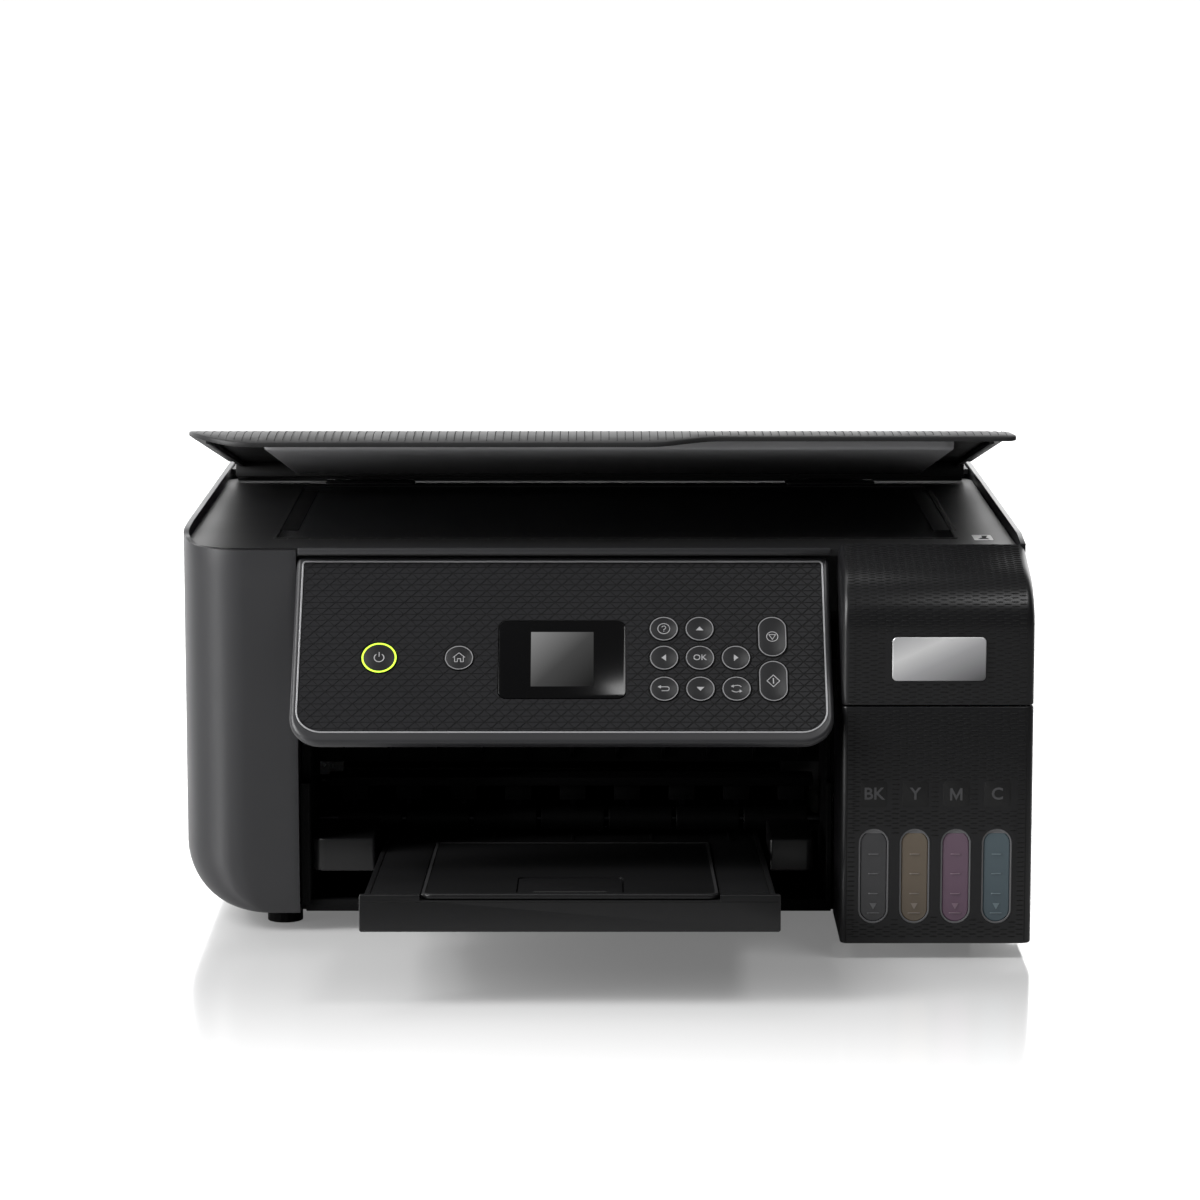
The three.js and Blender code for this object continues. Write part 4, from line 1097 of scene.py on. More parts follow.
HOUSE = [(-2.6, 0.1), (0, 2.5), (2.6, 0.1)]
SIGNS = {
    "power": [("line", arc((0, 0), 2.1, 125, 415), 0.42, False),
              ("line", [(0, 0.5), (0, 2.9)], 0.42, False)],
    "home": [("line", HOUSE, ICON, False), ("line", [(-1.9, 0.5), (-1.9, -2.1), (-0.7, -2.1), (-0.7,
                                                                                               -0.5),
                                                     (0.7, -0.5),
             (0.7, -2.1), (1.9, -2.1), (1.9, 0.5)], ICON, False)],
    "help": [("line", arc((0, 0), 2.6, 0, 360, 36)[:-1], ICON, True),
             ("line", arc((0, 0.55), 0.85, 170, -55, 12) + [(0, -0.45), (0, -0.8)], ICON, False),
             ("fill", [(-0.19, -1.5), (0.19, -1.5), (0.19, -1.15), (-0.19, -1.15)])],
    "up": [triangle_sign("up")],
    "down": [triangle_sign("down")],
    "left": [triangle_sign("left")],
    "right": [triangle_sign("right")],
    "back": [("line", [(-1.8, 0.95), (1.1, 0.95)] + arc((1.1, -0.05), 1.0, 80, -90, 12) + [(-1.2, -1.05)],
              0.34, False),
             arrow_head(-2.0, 0.95, -1)],
    "settings": [("line", arc((0.2, -0.9), 2.6, 45, 125, 10), 0.32, False),
                 arrow_head(-1.7, 1.25, -1, 0.75),
                 ("line", arc((-0.2, 0.9), 2.6, 225, 305, 10), 0.32, False),
                 arrow_head(1.7, -1.25, 1, 0.75)],
    "stop": [("line", arc((0, 0), 2.45, 0, 360, 36)[:-1], 0.34, True),
             ("line", [(-1.45, 1.0), (1.45, 1.0), (0, -1.5)], 0.3, True)],
    "start": [("line", [(0, 3.0), (2.75, 0), (0, -3.0), (-2.75, 0)], 0.34, True),
              ("line", [(0, 1.4), (0, -1.4)], 0.5, False)],
}


def make_key(name):
    """A key: its cap with a flange, the printed ring round its edge and its sign."""
    centre, radius = key_place(name)
    outline = key_outline(name)
    top = PANEL_FACE - 0.1
    cap = merged(stacked(outline, [(0, PANEL_FACE + 2.5), (0, top + 0.25), (0.08, top + 0.07), (0.25,
                                                                                                top)],
                         "Y"),
                 stacked(key_outline(name, 0.8), [(0, PANEL_FACE + 3.4), (0, PANEL_FACE + 2.5)], "Y"))
    body = "button_" + name
    piece(f"key_{name}", *cap, KEY, body, "button_plastic", PANEL, replaces=(body,))
    lit = name == "power"
    ring_width = 0.75 if lit else 0.42
    ring = band(key_outline(name, steps=64), ring_width + 0.12, 0.12, top + 0.1, top - 0.06, "Y")
    piece(f"key_ring_{name}", *ring, LIME if lit else PRINT_DIM, body, "button_plastic", PANEL)
    if name == "ok":
        text_shape("key_sign_ok", "OK", 4.1, (centre[0], top - 0.06, centre[1]), PRINT_GREY, body,
                   "button_plastic",
                   PANEL)
        return
    shapes = []
    for sign in SIGNS[name]:
        points = [(u + centre[0], v + centre[1]) for u, v in sign[1]]
        if sign[0] == "fill":
            shapes.append(filled(points, top + 0.04, top - 0.06))
        else:
            shapes.append(stroke(points, sign[2], top + 0.04, top - 0.06, "Y", sign[3]))
    piece(f"key_sign_{name}", *merged(*shapes), PRINT_GREY, body, "button_plastic", PANEL, flat=True)


def make_display():
    outline = display_outline()
    top = PANEL_FACE + 0.12
    levels = [(0, PANEL_FACE + 2.2), (0, top + 0.3), (0.1, top + 0.08), (0.35, top)]
    piece("display_glass", *stacked(outline, levels, "Y"), GLOSS, "panel", "display_black", PANEL,
          replaces=("display_window",))
    screen = rounded_inset((-30.0, -2.8), (down(67.9), down(39.9)), [0.2] * 4, 2)
    # The screen's glow is a painted reflection.
    piece("display_screen", *stacked(screen, [(0, top + 0.2), (0, top - 0.03)], "Y"), SCREEN_PAINTED_REFLECTION, "panel",
          "display_black",
          PANEL)


screen_low, screen_high = local_box("display_window")
# The screen's emitted slanting gradient is a painted reflection.
SCREEN_PAINTED_REFLECTION = screen_painted_reflection("liquid_crystal_screen_painted_reflection", (-30.0, screen_low.z + 4.5), (-2.8, screen_high.z - 4.5))
make_panel_housing()
make_panel_face()
for key in KEY_NAMES:
    make_key(key)
make_display()

# ------------------------------------------------------------------------------------------ scanner bed

BED_TOP = 173.2


def make_trim():
    low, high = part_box("front_trim")
    trim = box_solid((low[0] / MM, high[0] / MM), (low[1] / MM, high[1] / MM),
                     (low[2] / MM, high[2] / MM), 0.7)
    piece("scanner_front_trim", *trim, FRAME_GREY, "scanner", "grey_plastic", replaces=("front_trim",))


def make_bed():
    """Strips beside the glass, hinge brackets, the carriage-lock label and the raised rim round the
    bed."""
    for side, x in (("left", (-146.6, -137.0)), ("right", (151.5, 161.8))):
        strip = rounded_inset(x, (at(108), at(250)), [0.6] * 4, 3)
        piece(f"bed_strip_{side}", *slab(strip, BED_TOP - 0.6, BED_TOP + 0.15, "Z", 0.12), INNER,
              "scanner",
              "black_plastic")
    edge = rounded_inset((-146.5, 160.5), (at(81.5), at(265.5)), [1.2] * 4, 3)
    piece("bed_glass_rim", *band(edge, 1.3, 0.0, BED_TOP - 0.2, BED_TOP + 0.35, "Z"), BLACK, "scanner",
          "black_plastic")
    for side in (-1, 1):
        middle = side * 113.5
        cover = rounded_inset((middle - 22, middle + 22), (at(272), at(284)), [1.5] * 4, 4)
        piece(f"bed_hinge_plinth_{'left' if side < 0 else 'right'}",
              *slab(cover, BED_TOP - 0.3, BED_TOP + 1.1, "Z", 0.5),
              BLACK, "scanner", "black_plastic")
    piece("bed_rear_ledge", *box_solid((-180, 180), (at(289.6), at(291.0)), (BED_TOP - 0.4, 175.6), 0.3),
          BLACK,
          "scanner", "black_plastic")
    label = rounded_inset((167.5, 176.0), (at(76.5), at(92.5)), [0.6] * 4, 3)
    piece("bed_label", *slab(label, BED_TOP - 0.1, BED_TOP + 0.12, "Z"), PRINT_WHITE, "scanner",
          "white_plastic")
    mark = [(169.2, at(79)), (171.6, at(84.5)), (171.6, at(90)), (174.4, at(90)), (173.2, at(84)),
            (174.4, at(79))]
    piece("bed_label_mark", *filled([(u, v) for u, v in mark], BED_TOP + 0.02, BED_TOP + 0.18, "Z"),
          GROOVE, "scanner",
          "black_plastic", flat=True)
    ticks = [(x, at(80.2), BED_TOP + 0.03, facing((0, 0, 1), (0, 1, 0))) for x in range(-140, 156, 10)]
    repeat("bed_rule_marks", ticks, BAR, (0.9, 0.12, 0.1), PRINT_DIM, "scanner")


make_trim()
make_bed()

# ------------------------------------------------------------------------------------------ lid

LID_LENGTH = 244.5
LID_HALF = 184.6
LID_TOP = 5.5
LID_SKIN = 2.2
LID_FALL = (110.0, 40.0)               # radius and run of the curve that falls to the front edge
LID_CORNER = (31.0, 40.0)              # the left front corner is a quarter of an ellipse
RIB_PITCH = 3.6


def lid_front(x):
    """The front edge of the lid steps back towards the right in a shallow S."""
    t = min(1.0, max(0.0, (x - 22.0) / 32.0))
    return -LID_LENGTH + 9.5 * (t * t * (3 - 2 * t))


def lid_top(y):
    """Height of the lid's top at a local depth: flat, then falling in an arc to the front."""
    radius, run = LID_FALL
    start = -LID_LENGTH + run
    if y >= start:
        return LID_TOP
    return LID_TOP - radius + math.sqrt(radius * radius - (y - start) ** 2)


def lid_plan(inset, steps=16):
    """The lid's outline from above, anticlockwise from the rear right."""
    side, rear = LID_HALF - inset, -7 - inset
    across, along = LID_CORNER[0] - inset, LID_CORNER[1] - inset
    points = [(side, rear), (-side, rear)]
    cx, cy = -side + across, -LID_LENGTH + inset + along
    points += [(-side, rear + (cy - rear) * k / 8) for k in range(1, 8)]
    points += [(cx + across * math.cos(a), cy + along * math.sin(a)) for a in
               (math.radians(180 + 90 * k / steps) for k in range(steps + 1))]
    points += [(x, lid_front(x) + inset) for x in range(-145, 22, 12)]
    points += [(x, lid_front(x) + inset) for x in range(22, 55, 2)]
    points += [(x, lid_front(x) + inset) for x in range(62, 176, 12)]
    front = -LID_LENGTH + 9.5 + inset
    points += [(side - 4 + 4 * math.sin(a), front + 4 - 4 * math.cos(a)) for a in
               (math.radians(90 * k / 6) for k in range(7))]
    points += [(side, front + 4 + (rear - front - 4) * k / 8) for k in range(1, 8)]
    return points


def make_lid_cover():
    """A convex sheet with a rounded edge that falls to the front, and the carrier, rear wall and ribs
    under it."""
    stack = []
    for inset, drop in ((0.5, LID_SKIN), (0.12, LID_SKIN - 0.12), (0.0, LID_SKIN - 0.5), (0.0, 0.8),
                        (0.23, 0.23),
                        (0.8, 0.0)):
        stack.append([(x, y, lid_top(y) - drop) for x, y in lid_plan(inset)])
    count = len(stack[0])
    verts = [corner for ring in stack for corner in ring]
    faces = []
    for level in range(len(stack) - 1):
        for i in range(count):
            a, b = level * count + i, level * count + (i + 1) % count
            faces.append((a, b, b + count, a + count))
    faces += lid_sheet(verts, 0, count, LID_SKIN)
    faces += lid_sheet(verts, (len(stack) - 1) * count, count, 0.0)
    ledge = LID_TOP - LID_SKIN
    parts = [(verts, faces), box_solid((-146, 154), (-206, -28), (1.9, ledge), 0.3),
             box_solid((-LID_HALF + 4, LID_HALF - 4), (-9.4, -7.2), (-4.2, ledge), 0.3)]
    for side in (-1, 1):
        x = side * (LID_HALF - 7)
        parts.append(box_solid((x - 1.1, x + 1.1), (-190, -9.4), (0.8, ledge), 0.3))
    return piece("lid_cover_shell", *merged(*parts), LID_BLACK, "lid", "black_plastic", LID,
                 replaces=("lid_cover",))


def lid_sheet(verts, start, count, drop):
    """Fills one ring of the lid with a grid that follows its curve from front to back."""
    ring = [Vector(verts[start + i][:2]) for i in range(count)]
    rows = [-LID_LENGTH + d for d in (2.5, 6, 10, 14, 18, 22, 26, 30, 35, 40, 80, 140, 200)]
    inner = []
    for y in rows:
        for x in (-175, -165, -150, -100, -50, 0, 22, 38, 54, 100, 150, 172):
            across = max(0.0, -LID_HALF + LID_CORNER[0] - x) / LID_CORNER[0]
            along = max(0.0, -LID_LENGTH + LID_CORNER[1] - y) / LID_CORNER[1]
            if y > lid_front(x) + 2.0 and math.hypot(across, along) < 0.93:
                inner.append(Vector((x, y)))
    edges = [(i, (i + 1) % count) for i in range(count)]
    out = geometry.delaunay_2d_cdt(ring + inner, edges, [list(range(count))], 1, 1e-6)
    index = []
    for point, source in zip(out[0], out[3]):
        if source and source[0] < count:
            index.append(start + source[0])
        else:
            verts.append((point.x, point.y, lid_top(point.y) - drop))
            index.append(len(verts) - 1)
    return [tuple(index[k] for k in face) for face in out[2]]


def make_lid_relief():
    """Fine lines across the lid: columns of short dashes, staggered, between smooth borders."""
    points, grow = [], []
    column = 0
    x = -LID_HALF + 5.0
    while x < LID_HALF - 4.0:
        across = max(0.0, -LID_HALF + LID_CORNER[0] - x) / LID_CORNER[0]
        y = lid_front(x) + 3.4 + LID_CORNER[1] * (1 - math.sqrt(max(0.0,
                                                                    1 - across ** 2))) + 1.05 * (column % 2)
        while y < -LID_LENGTH + 46:
            slope = lid_top(y + 0.5) - lid_top(y - 0.5)
            points.append((x, y, lid_top(y) - 0.03, facing((0, -slope, 1), (0, 1, slope))))
            grow.append((1, 1, 1))
            y += 2.1
        length = (-12.0 - y) / 2
        points.append((x, y + length, LID_TOP - 0.04, facing((0, 0, 1), (0, 1, 0))))
        grow.append((length / 0.7, 1, 1))
        x += RIB_PITCH
        column += 1
    repeat("lid_relief", points, BAR, (0.7, 0.17, 0.1), GROOVE, "lid", LID, grow)


def make_lid_pad():
    low, high = local_box("lid_pad", LID)
    plan = rounded_inset((low.x, high.x), (low.y, high.y), [5] * 4, 6)
    pad = piece("lid_pad_sheet", *slab(plan, low.z, high.z, "Z", 1.4, 4), PAD, "lid", "pad_foam", LID,
                replaces=("lid_pad",))
    ridge = merged(box_solid((low.x + 2, high.x - 2), (high.y + 1.5, high.y + 4.0), (-1.8, 4.0), 0.4),
                   box_solid((low.x + 2, high.x - 2), (high.y + 6.5, high.y + 8.4), (-1.2, 4.0), 0.4))
    piece("lid_stiffener", *ridge, BLACK, "lid", "black_plastic", LID)
    return pad


def make_lid_hinges():
    for side in (-1, 1):
        middle = side * 113.5
        knuckle = stacked(circle_inset((0, 0), 2.8, 0, 28), [(0.4, middle - 12), (0, middle - 11.6),
                          (0, middle + 11.6), (0.4, middle + 12)], "X")
        arm = box_solid((middle - 12, middle + 12), (-9, 0), (-1.5, 2.8), 0.5)
        piece(f"lid_hinge_{'left' if side < 0 else 'right'}", *merged(knuckle, arm), BLACK, "lid",
              "black_plastic", LID,
              replaces=("lid_cover",))


make_lid_cover()
make_lid_relief()
make_lid_pad()
make_lid_hinges()

# ------------------------------------------------------------------------------------------ output tray

TRAY = turned_frame(Vector((-12.5, at(-81.5), 47.0)), TRAY_WAY)
TRAY_HALF = 85.6
LIP_HALF = 87.5
TRAY_LENGTH = 232.0
STAGE_HALF = 62.0
STAGE_CORNER = 5.0


def make_tray():
    lip = rounded_inset((-LIP_HALF, LIP_HALF), (-15.5, 0), [1.0, 1.0, 0.7, 0.7], 5)
    front = piece("tray_lip", *slab(lip, 0, 4, "Y", 0.45), TRAY_BLACK, "output_tray", "black_plastic",
                  TRAY,
                  replaces=("output_tray",))
    notch = rounded_inset((-STAGE_HALF - 0.4, STAGE_HALF + 0.4), (-1, 5), [0.2] * 4, 2)
    cut(front, tool_solid(*slab(notch, -2.3, 5, "Z"), TRAY))
    parts = [box_solid((-STAGE_HALF - 0.5, STAGE_HALF + 0.5), (4.1, TRAY_LENGTH), (-5, -2.3), 0.2),
             box_solid((-STAGE_HALF - 0.5, STAGE_HALF + 0.5), (170, TRAY_LENGTH), (-2.2, -0.45), 0.2)]
    for side in (-1, 1):
        parts.append(box_solid(sorted((side * (STAGE_HALF + 0.4), side * (TRAY_HALF - 2.5))),
                               (4.1, TRAY_LENGTH),
                               (-5, -0.45), 0.2))
        x = side * (TRAY_HALF - 1.2)
        parts.append(box_solid((x - 1.2, x + 1.2), (4.1, TRAY_LENGTH), (-5.2, -0.25), 0.35))
        parts.append(box_solid((x - 1.2, x + 1.2), (4.1, 95), (-10, -5.3), 0.3))
    piece("tray_body", *merged(*parts), TRAY_BLACK, "output_tray", "black_plastic", TRAY,
          replaces=("output_tray",))
    step = box_solid((-LIP_HALF + 1.0, LIP_HALF - 1.0), (-0.12, 0.3), (-3.05, -2.75), 0.04)
    piece("tray_lip_line", *step, GROOVE, "output_tray", "black_plastic", TRAY)
    ribs = [(x, 200, -0.4, facing((0, 0, 1), (0, 1, 0))) for x in (-72, -36, 0, 36, 72)]
    repeat("tray_ribs", ribs, BAR, (26, 0.7, 0.5), TRAY_BLACK, "output_tray", TRAY)


def make_stage():
    outline = rounded_inset((-STAGE_HALF, STAGE_HALF), (1.2, 168), [STAGE_CORNER, STAGE_CORNER, 1, 1], 8)
    stage = piece("tray_stage", *slab(outline, -2.0, -0.1, "Z", 0.4), TRAY_BLACK, "tray_extension",
                  "black_plastic",
                  TRAY, replaces=("tray_extension",))
    well = rounded_inset((-22.5, 22.5), (7.0, 54.0), [2.5] * 4, 6)
    cut(stage, tool_solid(*slab(well, -4, 3, "Z"), TRAY))
    # A lighter grey band round the stage's edge: a painted highlight along the edge.
    rim = rounded_inset((-STAGE_HALF, STAGE_HALF), (1.2, 167), [STAGE_CORNER + 1.5] * 2 + [1, 1], 8)
    piece("tray_stage_rim", *band(rim, 1.5, 0.35, -0.3, 0.12, "Z"), TRAY_EDGE_PAINTED_HIGHLIGHT, "tray_extension",
          "black_plastic", TRAY)
    flap = rounded_inset((-22, 22), (8, 52), [2.2] * 4, 6)
    piece("tray_stopper_flap", *slab(flap, -1.8, -0.3, "Z", 0.35), TRAY_BLACK, "tray_stopper",
          "black_plastic", TRAY,
          replaces=("tray_stopper",))
    grip = rounded_inset((-15.5, 15.5), (9.5, 13.0), [1.7] * 4, 6)
    piece("tray_stopper_grip", *slab(grip, -1.0, -0.22, "Z"), GROOVE, "tray_stopper", "black_plastic",
          TRAY)


TRAY_BLACK = moulded("tray_abs_black", "171718", 0.34, 0.5, 0.01)
# The lighter grey of the stage's edge band is a painted highlight.
TRAY_EDGE_PAINTED_HIGHLIGHT = moulded("tray_rim_painted_highlight_grey", "3a3a3b", 0.3, 0.5, 0.008)
make_tray()
make_stage()

# ------------------------------------------------------------------------------------------ front opening

def make_front_frame():
    """Cheeks, the rounded guide blocks that the tray runs between, and the sill."""
    profile = [(53, 12), (122, 12), (122, 138), (64, 138), (64, 67), (53, 67)]
    cheek = mitred([(at(y), z) for y, z in profile])
    parts = [stacked(cheek, [(0.4, -133.7), (0, -133.3), (0, -129.6), (0.4, -129.2)], "X"),
             stacked(cheek, [(0.4, 101), (0, 101.4), (0, 103), (0.4, 103.4)], "X"),
             box_solid((-131.6, 103.4), (at(54), at(58)), (8.6, 14), 0.4),
             box_solid((-131.6, 103.4), (at(119.6), at(122)), (64, 138), 0.2)]
    body = piece("opening_frame", *merged(*parts), INNER, "casing", "inner_plastic",
                 replaces=("front_frame",))
    left = rounded_inset((-129.4, -100.4), (at(53), at(96)), [7.0, 1.5, 0.5, 0.5], 8)
    right = rounded_inset((75.8, 95.4), (at(53), at(96)), [1.5, 3.5, 0.5, 0.5], 8)
    for side, plan in (("left", left), ("right", right)):
        block = piece(f"tray_guide_{side}", *slab(plan, 27, 42, "Z", 1.1), SATIN_BLACK, "casing",
                      "black_plastic")
        tray_gap = tool_solid(*stacked(circle_inset((at(112), 39), 3.2, 0, 20), [(0, -140), (0, 110)],
                                       "X"))
        cut(block, tray_gap)
    return body


def make_star_wheels():
    """The bar over the exit roller, with its ribs and thin toothed wheels."""
    low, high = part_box("star_wheel_bar")
    x0, x1 = low[0] / MM, high[0] / MM
    bar = box_solid((x0, x1), (at(102), at(117)), (56, 60), 0.5)
    holders = [box_solid((x - 6, x + 6), (at(104), at(117)), (49, 56.2), 0.5) for x in range(-112, 89,
                                                                                             25)]
    piece("star_wheel_holder", *merged(bar, *[shift(h, (-0.5, 0, 0)) for h in holders]), INNER, "casing",
          "inner_plastic", replaces=("star_wheel_bar",))
    discs = []
    for x in range(-112, 89, 25):
        teeth = [((4.9 if k % 2 else 4.2) * math.cos(math.radians(k * 10)),
                  (4.9 if k % 2 else 4.2) * math.sin(math.radians(k * 10))) for k in range(36)]
        rim = [(at(110) + u, 50.2 + v) for u, v in teeth]
        discs.append(stacked(lambda inset, rim=rim: rim, [(0, x - 1.5), (0, x + 0.5)], "X"))
    piece("star_wheels", *merged(*discs), BLUED, "casing", "inner_plastic")
    fins = [(x, at(121), 90, facing((0, -1, 0), (0, 0, 1))) for x in range(-118, 96, 21)]
    repeat("opening_ribs", fins, BAR, (26, 0.9, 5.0), INNER, "casing")


def shift(solid, by):
    return [(x + by[0], y + by[1], z + by[2]) for x, y, z in solid[0]], solid[1]


def make_exit_roller():
    """A plain shaft with ground rubber sleeves, and a wide collar near its left end."""
    low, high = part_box("exit_roller")
    line = (at(112), 39)
    shaft = [stacked(circle_inset(line, 2.6, 0, 24), [(0.3, low[0] / MM), (0, low[0] / MM + 0.3),
             (0, high[0] / MM - 0.3), (0.3, high[0] / MM)], "X"),
             stacked(circle_inset(line, 9, 0, 48), [(0.3, -173.5), (0, -173.2), (0, -168.8), (0.3,
                                                                                              -168.5)],
                     "X")]
    piece("exit_roller_shaft", *merged(*shaft), POLISHED, "exit_roller", "frame_steel",
          replaces=("exit_roller",))
    sleeves = []
    for k in range(7):
        x0 = -120 + k * 31
        sleeves.append(stacked(circle_inset(line, 5.5, 0, 40),
                               [(0.4, x0), (0, x0 + 0.4), (0, x0 + 28.6), (0.4, x0 + 29)],
                               "X"))
    piece("exit_roller_sleeves", *merged(*sleeves), SLEEVE, "exit_roller", "roller_rubber")


SATIN_BLACK = moulded("satin_abs_guide_black", "131314", 0.34, 0.5, 0.008)
POLISHED = brushed("ground_steel_shaft", "3a3b3d", 0.25, (30, 3000, 3000))
SLEEVE = moulded("smooth_rubber_sleeve", "060607", 0.5, 0.5, 0.008, Specular_IOR_Level=0.2)
make_front_frame()
make_star_wheels()
make_exit_roller()

# ------------------------------------------------------------------------------------- back and underside

def make_back():
    """Screws with their slots, a vent frame, ribs, the rubber feet and the inlet pins."""
    screws = [(x, at(BACK - FRONT), z, facing((0, 1, 0), (1, 0, 0))) for x, z in
              ((-128, 20), (-128, 160), (164, 160), (164, 18), (18, 18), (18, 168))]
    repeat("rear_screws", screws, STUD, (3.0, 3.0, 1.0), SCREW, "casing")
    slots = [(x, y + 0.45, z, facing((0, 1, 0), (1, 0, 0))) for x, y, z, _ in screws]
    slots += [(x, y + 0.45, z, facing((0, 1, 0), (0, 0, 1))) for x, y, z, _ in screws]
    repeat("rear_screw_recesses", slots, BAR, (1.5, 0.28, 0.2), GROOVE, "casing")
    frame_band = rounded_inset((-66, 71), (56, 88), [2] * 4, 4)
    piece("rear_vent_frame", *band(frame_band, 1.4, 0, BACK - 0.2, BACK + 0.5, "Y"), BLACK, "casing",
          "black_plastic")
    ribs = [(x, BACK, 110, facing((0, 1, 0), (0, 0, 1))) for x in range(-100, 141, 30)]
    repeat("rear_ribs", ribs, BAR, (16, 0.6, 1.0), BLACK, "casing")
    pads = [(x, at(y), 1.0, facing((0, 0, 1), (1, 0, 0))) for x, y in
            ((-142.5, 76), (160, 76), (-142.5, 318), (160, 318))]
    repeat("foot_pads", pads, STUD, (7.6, 7.6, 1.9), RUBBER, "casing")
    pins = [(x, at(347 - 11.5), 36, facing((0, 1, 0), (1, 0, 0))) for x in (123, 133)]
    repeat("inlet_pins", pins, STUD, (1.75, 1.75, 17), POLISHED, "casing")


SCREW = brushed("zinc_plated_screw", "8a8c8e", 0.35)
make_back()

# ----------------------------------------------------------------------------- finishes of the kept nodes

FINISHES = {
    "base_pan": INNER, "rear_cover": BLACK, "scanner_frame": BLACK, "scanner_glass": BED_GLASS,
    "scan_bar": INNER, "platen": INNER, "chassis": STEEL, "guide_rail": STEEL,
            "print_carriage": SATIN_BLACK,
    "timing_belt": RUBBER, "motor_pulley": POLISHED, "idler_pulley": WHITE_ACETAL,
            "carriage_motor": STEEL,
    "feed_roller": POLISHED, "feed_belt": RUBBER, "feeder_frame": INNER, "paper_support": BLACK,
    "edge_guide_left": FRAME_GREY, "edge_guide_right": FRAME_GREY, "pickup_roller": RUBBER,
            "feeder_guard": BLACK,
    "main_board": BOARD, "power_supply": STEEL, "ac_inlet": SATIN_BLACK,
}
FINISHES.update({"ink_tank_" + ink: INKS[ink] for ink in INK_ORDER})
FINISHES.update({"tank_cap_" + ink: CAPS for ink, CAPS in zip(INK_ORDER, (
    moulded("cap_rubber_black", "1b1b1c", 0.5, 0.5, 0.01),
                                                                          moulded("cap_rubber_yellow",
                                                                                  "b09a2a", 0.5, 0.5,
                                                                                  0.01),
    moulded("cap_rubber_magenta", "9a3470", 0.5, 0.5, 0.01),
                                                                          moulded("cap_rubber_cyan",
                                                                                  "2f7f9e", 0.5, 0.5,
                                                                                  0.01)))})

for node, finish in FINISHES.items():
    slots = frame["nodes"][node].data.materials
    slots.clear()
    slots.append(finish)

# -------------------------------------------------------------------------------- table, light and camera

def make_table():
    """A pale polished table with a soft reflection. Its own painted glow, seen only by the camera, lifts it
    to white and lights nothing. The glow is weak near the printer and strong towards the viewer, which fades
    the reflection out."""
    material, tree, shader = new_material("polished_white_laminate", "e6e6e6", 0.11, ior=2.0)
    path = add(tree, "ShaderNodeLightPath")
    where = add(tree, "ShaderNodeSeparateXYZ", {0: object_coordinates(tree)})
    # The painted glow rises away from the printer and washes out its reflection.
    rise = add(tree, "ShaderNodeMapRange", {"Value": where.outputs["Y"]}, interpolation_type="SMOOTHSTEP",
               From_Min=-0.14, From_Max=-0.45, To_Min=TABLE_GLOW, To_Max=TABLE_FADE)
    glow = add(tree, "ShaderNodeMath", {0: path.outputs["Is Camera Ray"], 1: rise.outputs["Result"]},
               operation="MULTIPLY")
    tree.links.new(glow.outputs[0], shader.inputs["Emission Strength"])
    shader.inputs["Emission Color"].default_value = linear("ffffff")
    verts = [(-9000, -4000, -0.2), (9000, -4000, -0.2), (9000, 30000, -0.2), (-9000, 30000, -0.2)]
    mesh = bpy.data.meshes.new("table")
    mesh.from_pydata([Vector(v) * MM for v in verts], [], [(0, 1, 2, 3)])
    mesh.materials.append(material)
    table = bpy.data.objects.new("table", mesh)
    bpy.context.scene.collection.objects.link(table)


TABLE_GLOW = 0.16
TABLE_FADE = 0.8                       # the painted glow close to the viewer, which washes the reflection out there


def soft_box(name, spot, aim, size, power, color="ffffff"):
    light = bpy.data.lights.new(name, "AREA")
    light.shape = "RECTANGLE"
    light.size, light.size_y = size
    light.energy = power
    light.color = linear(color)[:3]
    obj = bpy.data.objects.new(name, light)
    obj.location = spot
    obj.rotation_euler = (Vector(aim) - Vector(spot)).to_track_quat("-Z", "Y").to_euler()
    bpy.context.scene.collection.objects.link(obj)
    return obj


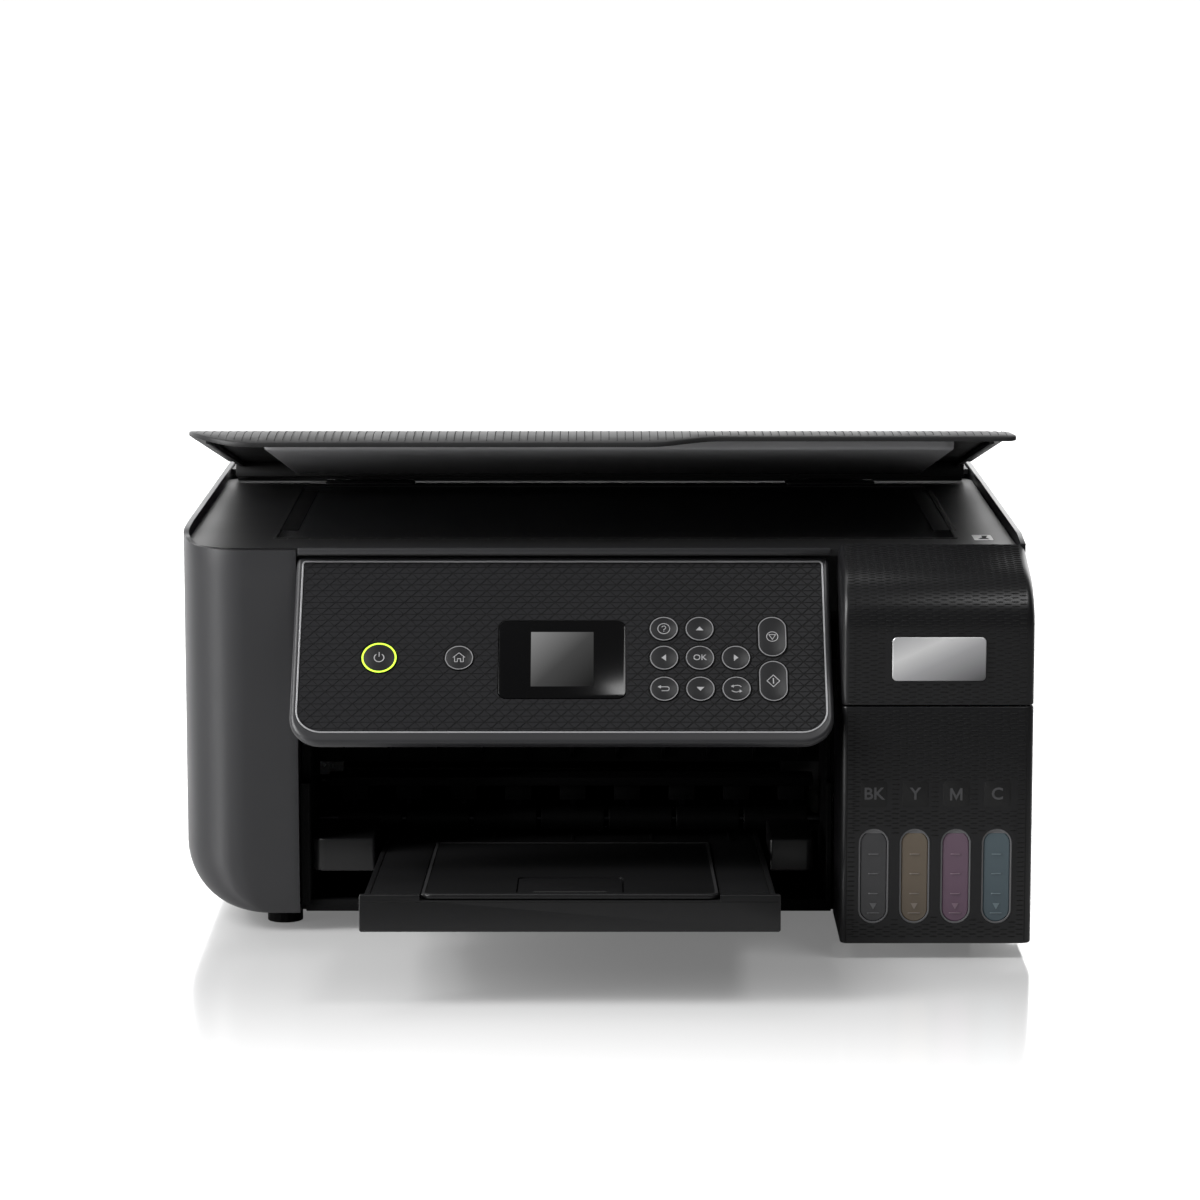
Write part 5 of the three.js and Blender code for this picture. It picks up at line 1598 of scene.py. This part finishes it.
def make_world():
    """White for the eye. What lights the printer is a dim studio with a bright wall low down behind it, which
    the table mirrors."""
    world = bpy.data.worlds.new("studio")
    bpy.context.scene.world = world
    world.use_nodes = True
    tree = world.node_tree
    tree.nodes.clear()
    seen = add(tree, "ShaderNodeBackground", Color=linear("ffffff"), Strength=1.0)
    way = add(tree, "ShaderNodeSeparateXYZ", {0: add(tree, "ShaderNodeTexCoord").outputs["Generated"]})
    back = add(tree, "ShaderNodeMapRange", {"Value": way.outputs["Y"]}, interpolation_type="SMOOTHSTEP",
               From_Min=0.35, From_Max=0.9)
    low = add(tree, "ShaderNodeMapRange", {"Value": way.outputs["Z"]}, interpolation_type="SMOOTHSTEP",
              From_Min=0.6, From_Max=0.32)
    wall = add(tree, "ShaderNodeMath", {0: back.outputs["Result"], 1: low.outputs["Result"]},
               operation="MULTIPLY")
    path = add(tree, "ShaderNodeLightPath")
    mirrored = add(tree, "ShaderNodeMath", {0: wall.outputs[0], 1: path.outputs["Is Glossy Ray"]},
                   operation="MULTIPLY")
    strength = add(tree, "ShaderNodeMapRange", {"Value": mirrored.outputs[0]}, To_Min=WORLD_FILL,
                   To_Max=WALL_GLOW)
    given = add(tree, "ShaderNodeBackground", {"Strength": strength.outputs["Result"]},
                Color=linear("ffffff"))
    mixed = add(tree, "ShaderNodeMixShader", {0: path.outputs["Is Camera Ray"], 1: given.outputs[0],
                                              2: seen.outputs[0]})
    add(tree, "ShaderNodeOutputWorld", {"Surface": mixed.outputs[0]})


WORLD_FILL = 0.1
WALL_GLOW = 3.0


def make_camera():
    camera = bpy.data.cameras.new("camera")
    camera.lens = 126
    camera.sensor_width = 36
    obj = bpy.data.objects.new("camera", camera)
    obj.location = (0, (FRONT - 1783) * MM, 0.4367)
    obj.rotation_euler = (math.radians(81.118), 0, 0)
    bpy.context.scene.collection.objects.link(obj)
    bpy.context.scene.camera = obj


make_table()
make_world()
soft_box("left_box", (-1.85, -0.8, 0.85), (-0.15, 0.0, 0.14), (0.75, 1.4), 31)
soft_box("top_box", (-1.3, -0.5, 1.45), (0, 0, 0.1), (0.8, 0.9), 18)
soft_box("over_box", (0.64, -0.5, 1.55), (0.15, -0.1, 0.15), (0.7, 0.25), 5)
soft_box("rear_box", (-0.5, 0.5, 1.6), (-0.1, -0.05, 0.15), (1.4, 0.5), 4)
make_camera()
bpy.context.scene.view_settings.view_transform = "Standard"
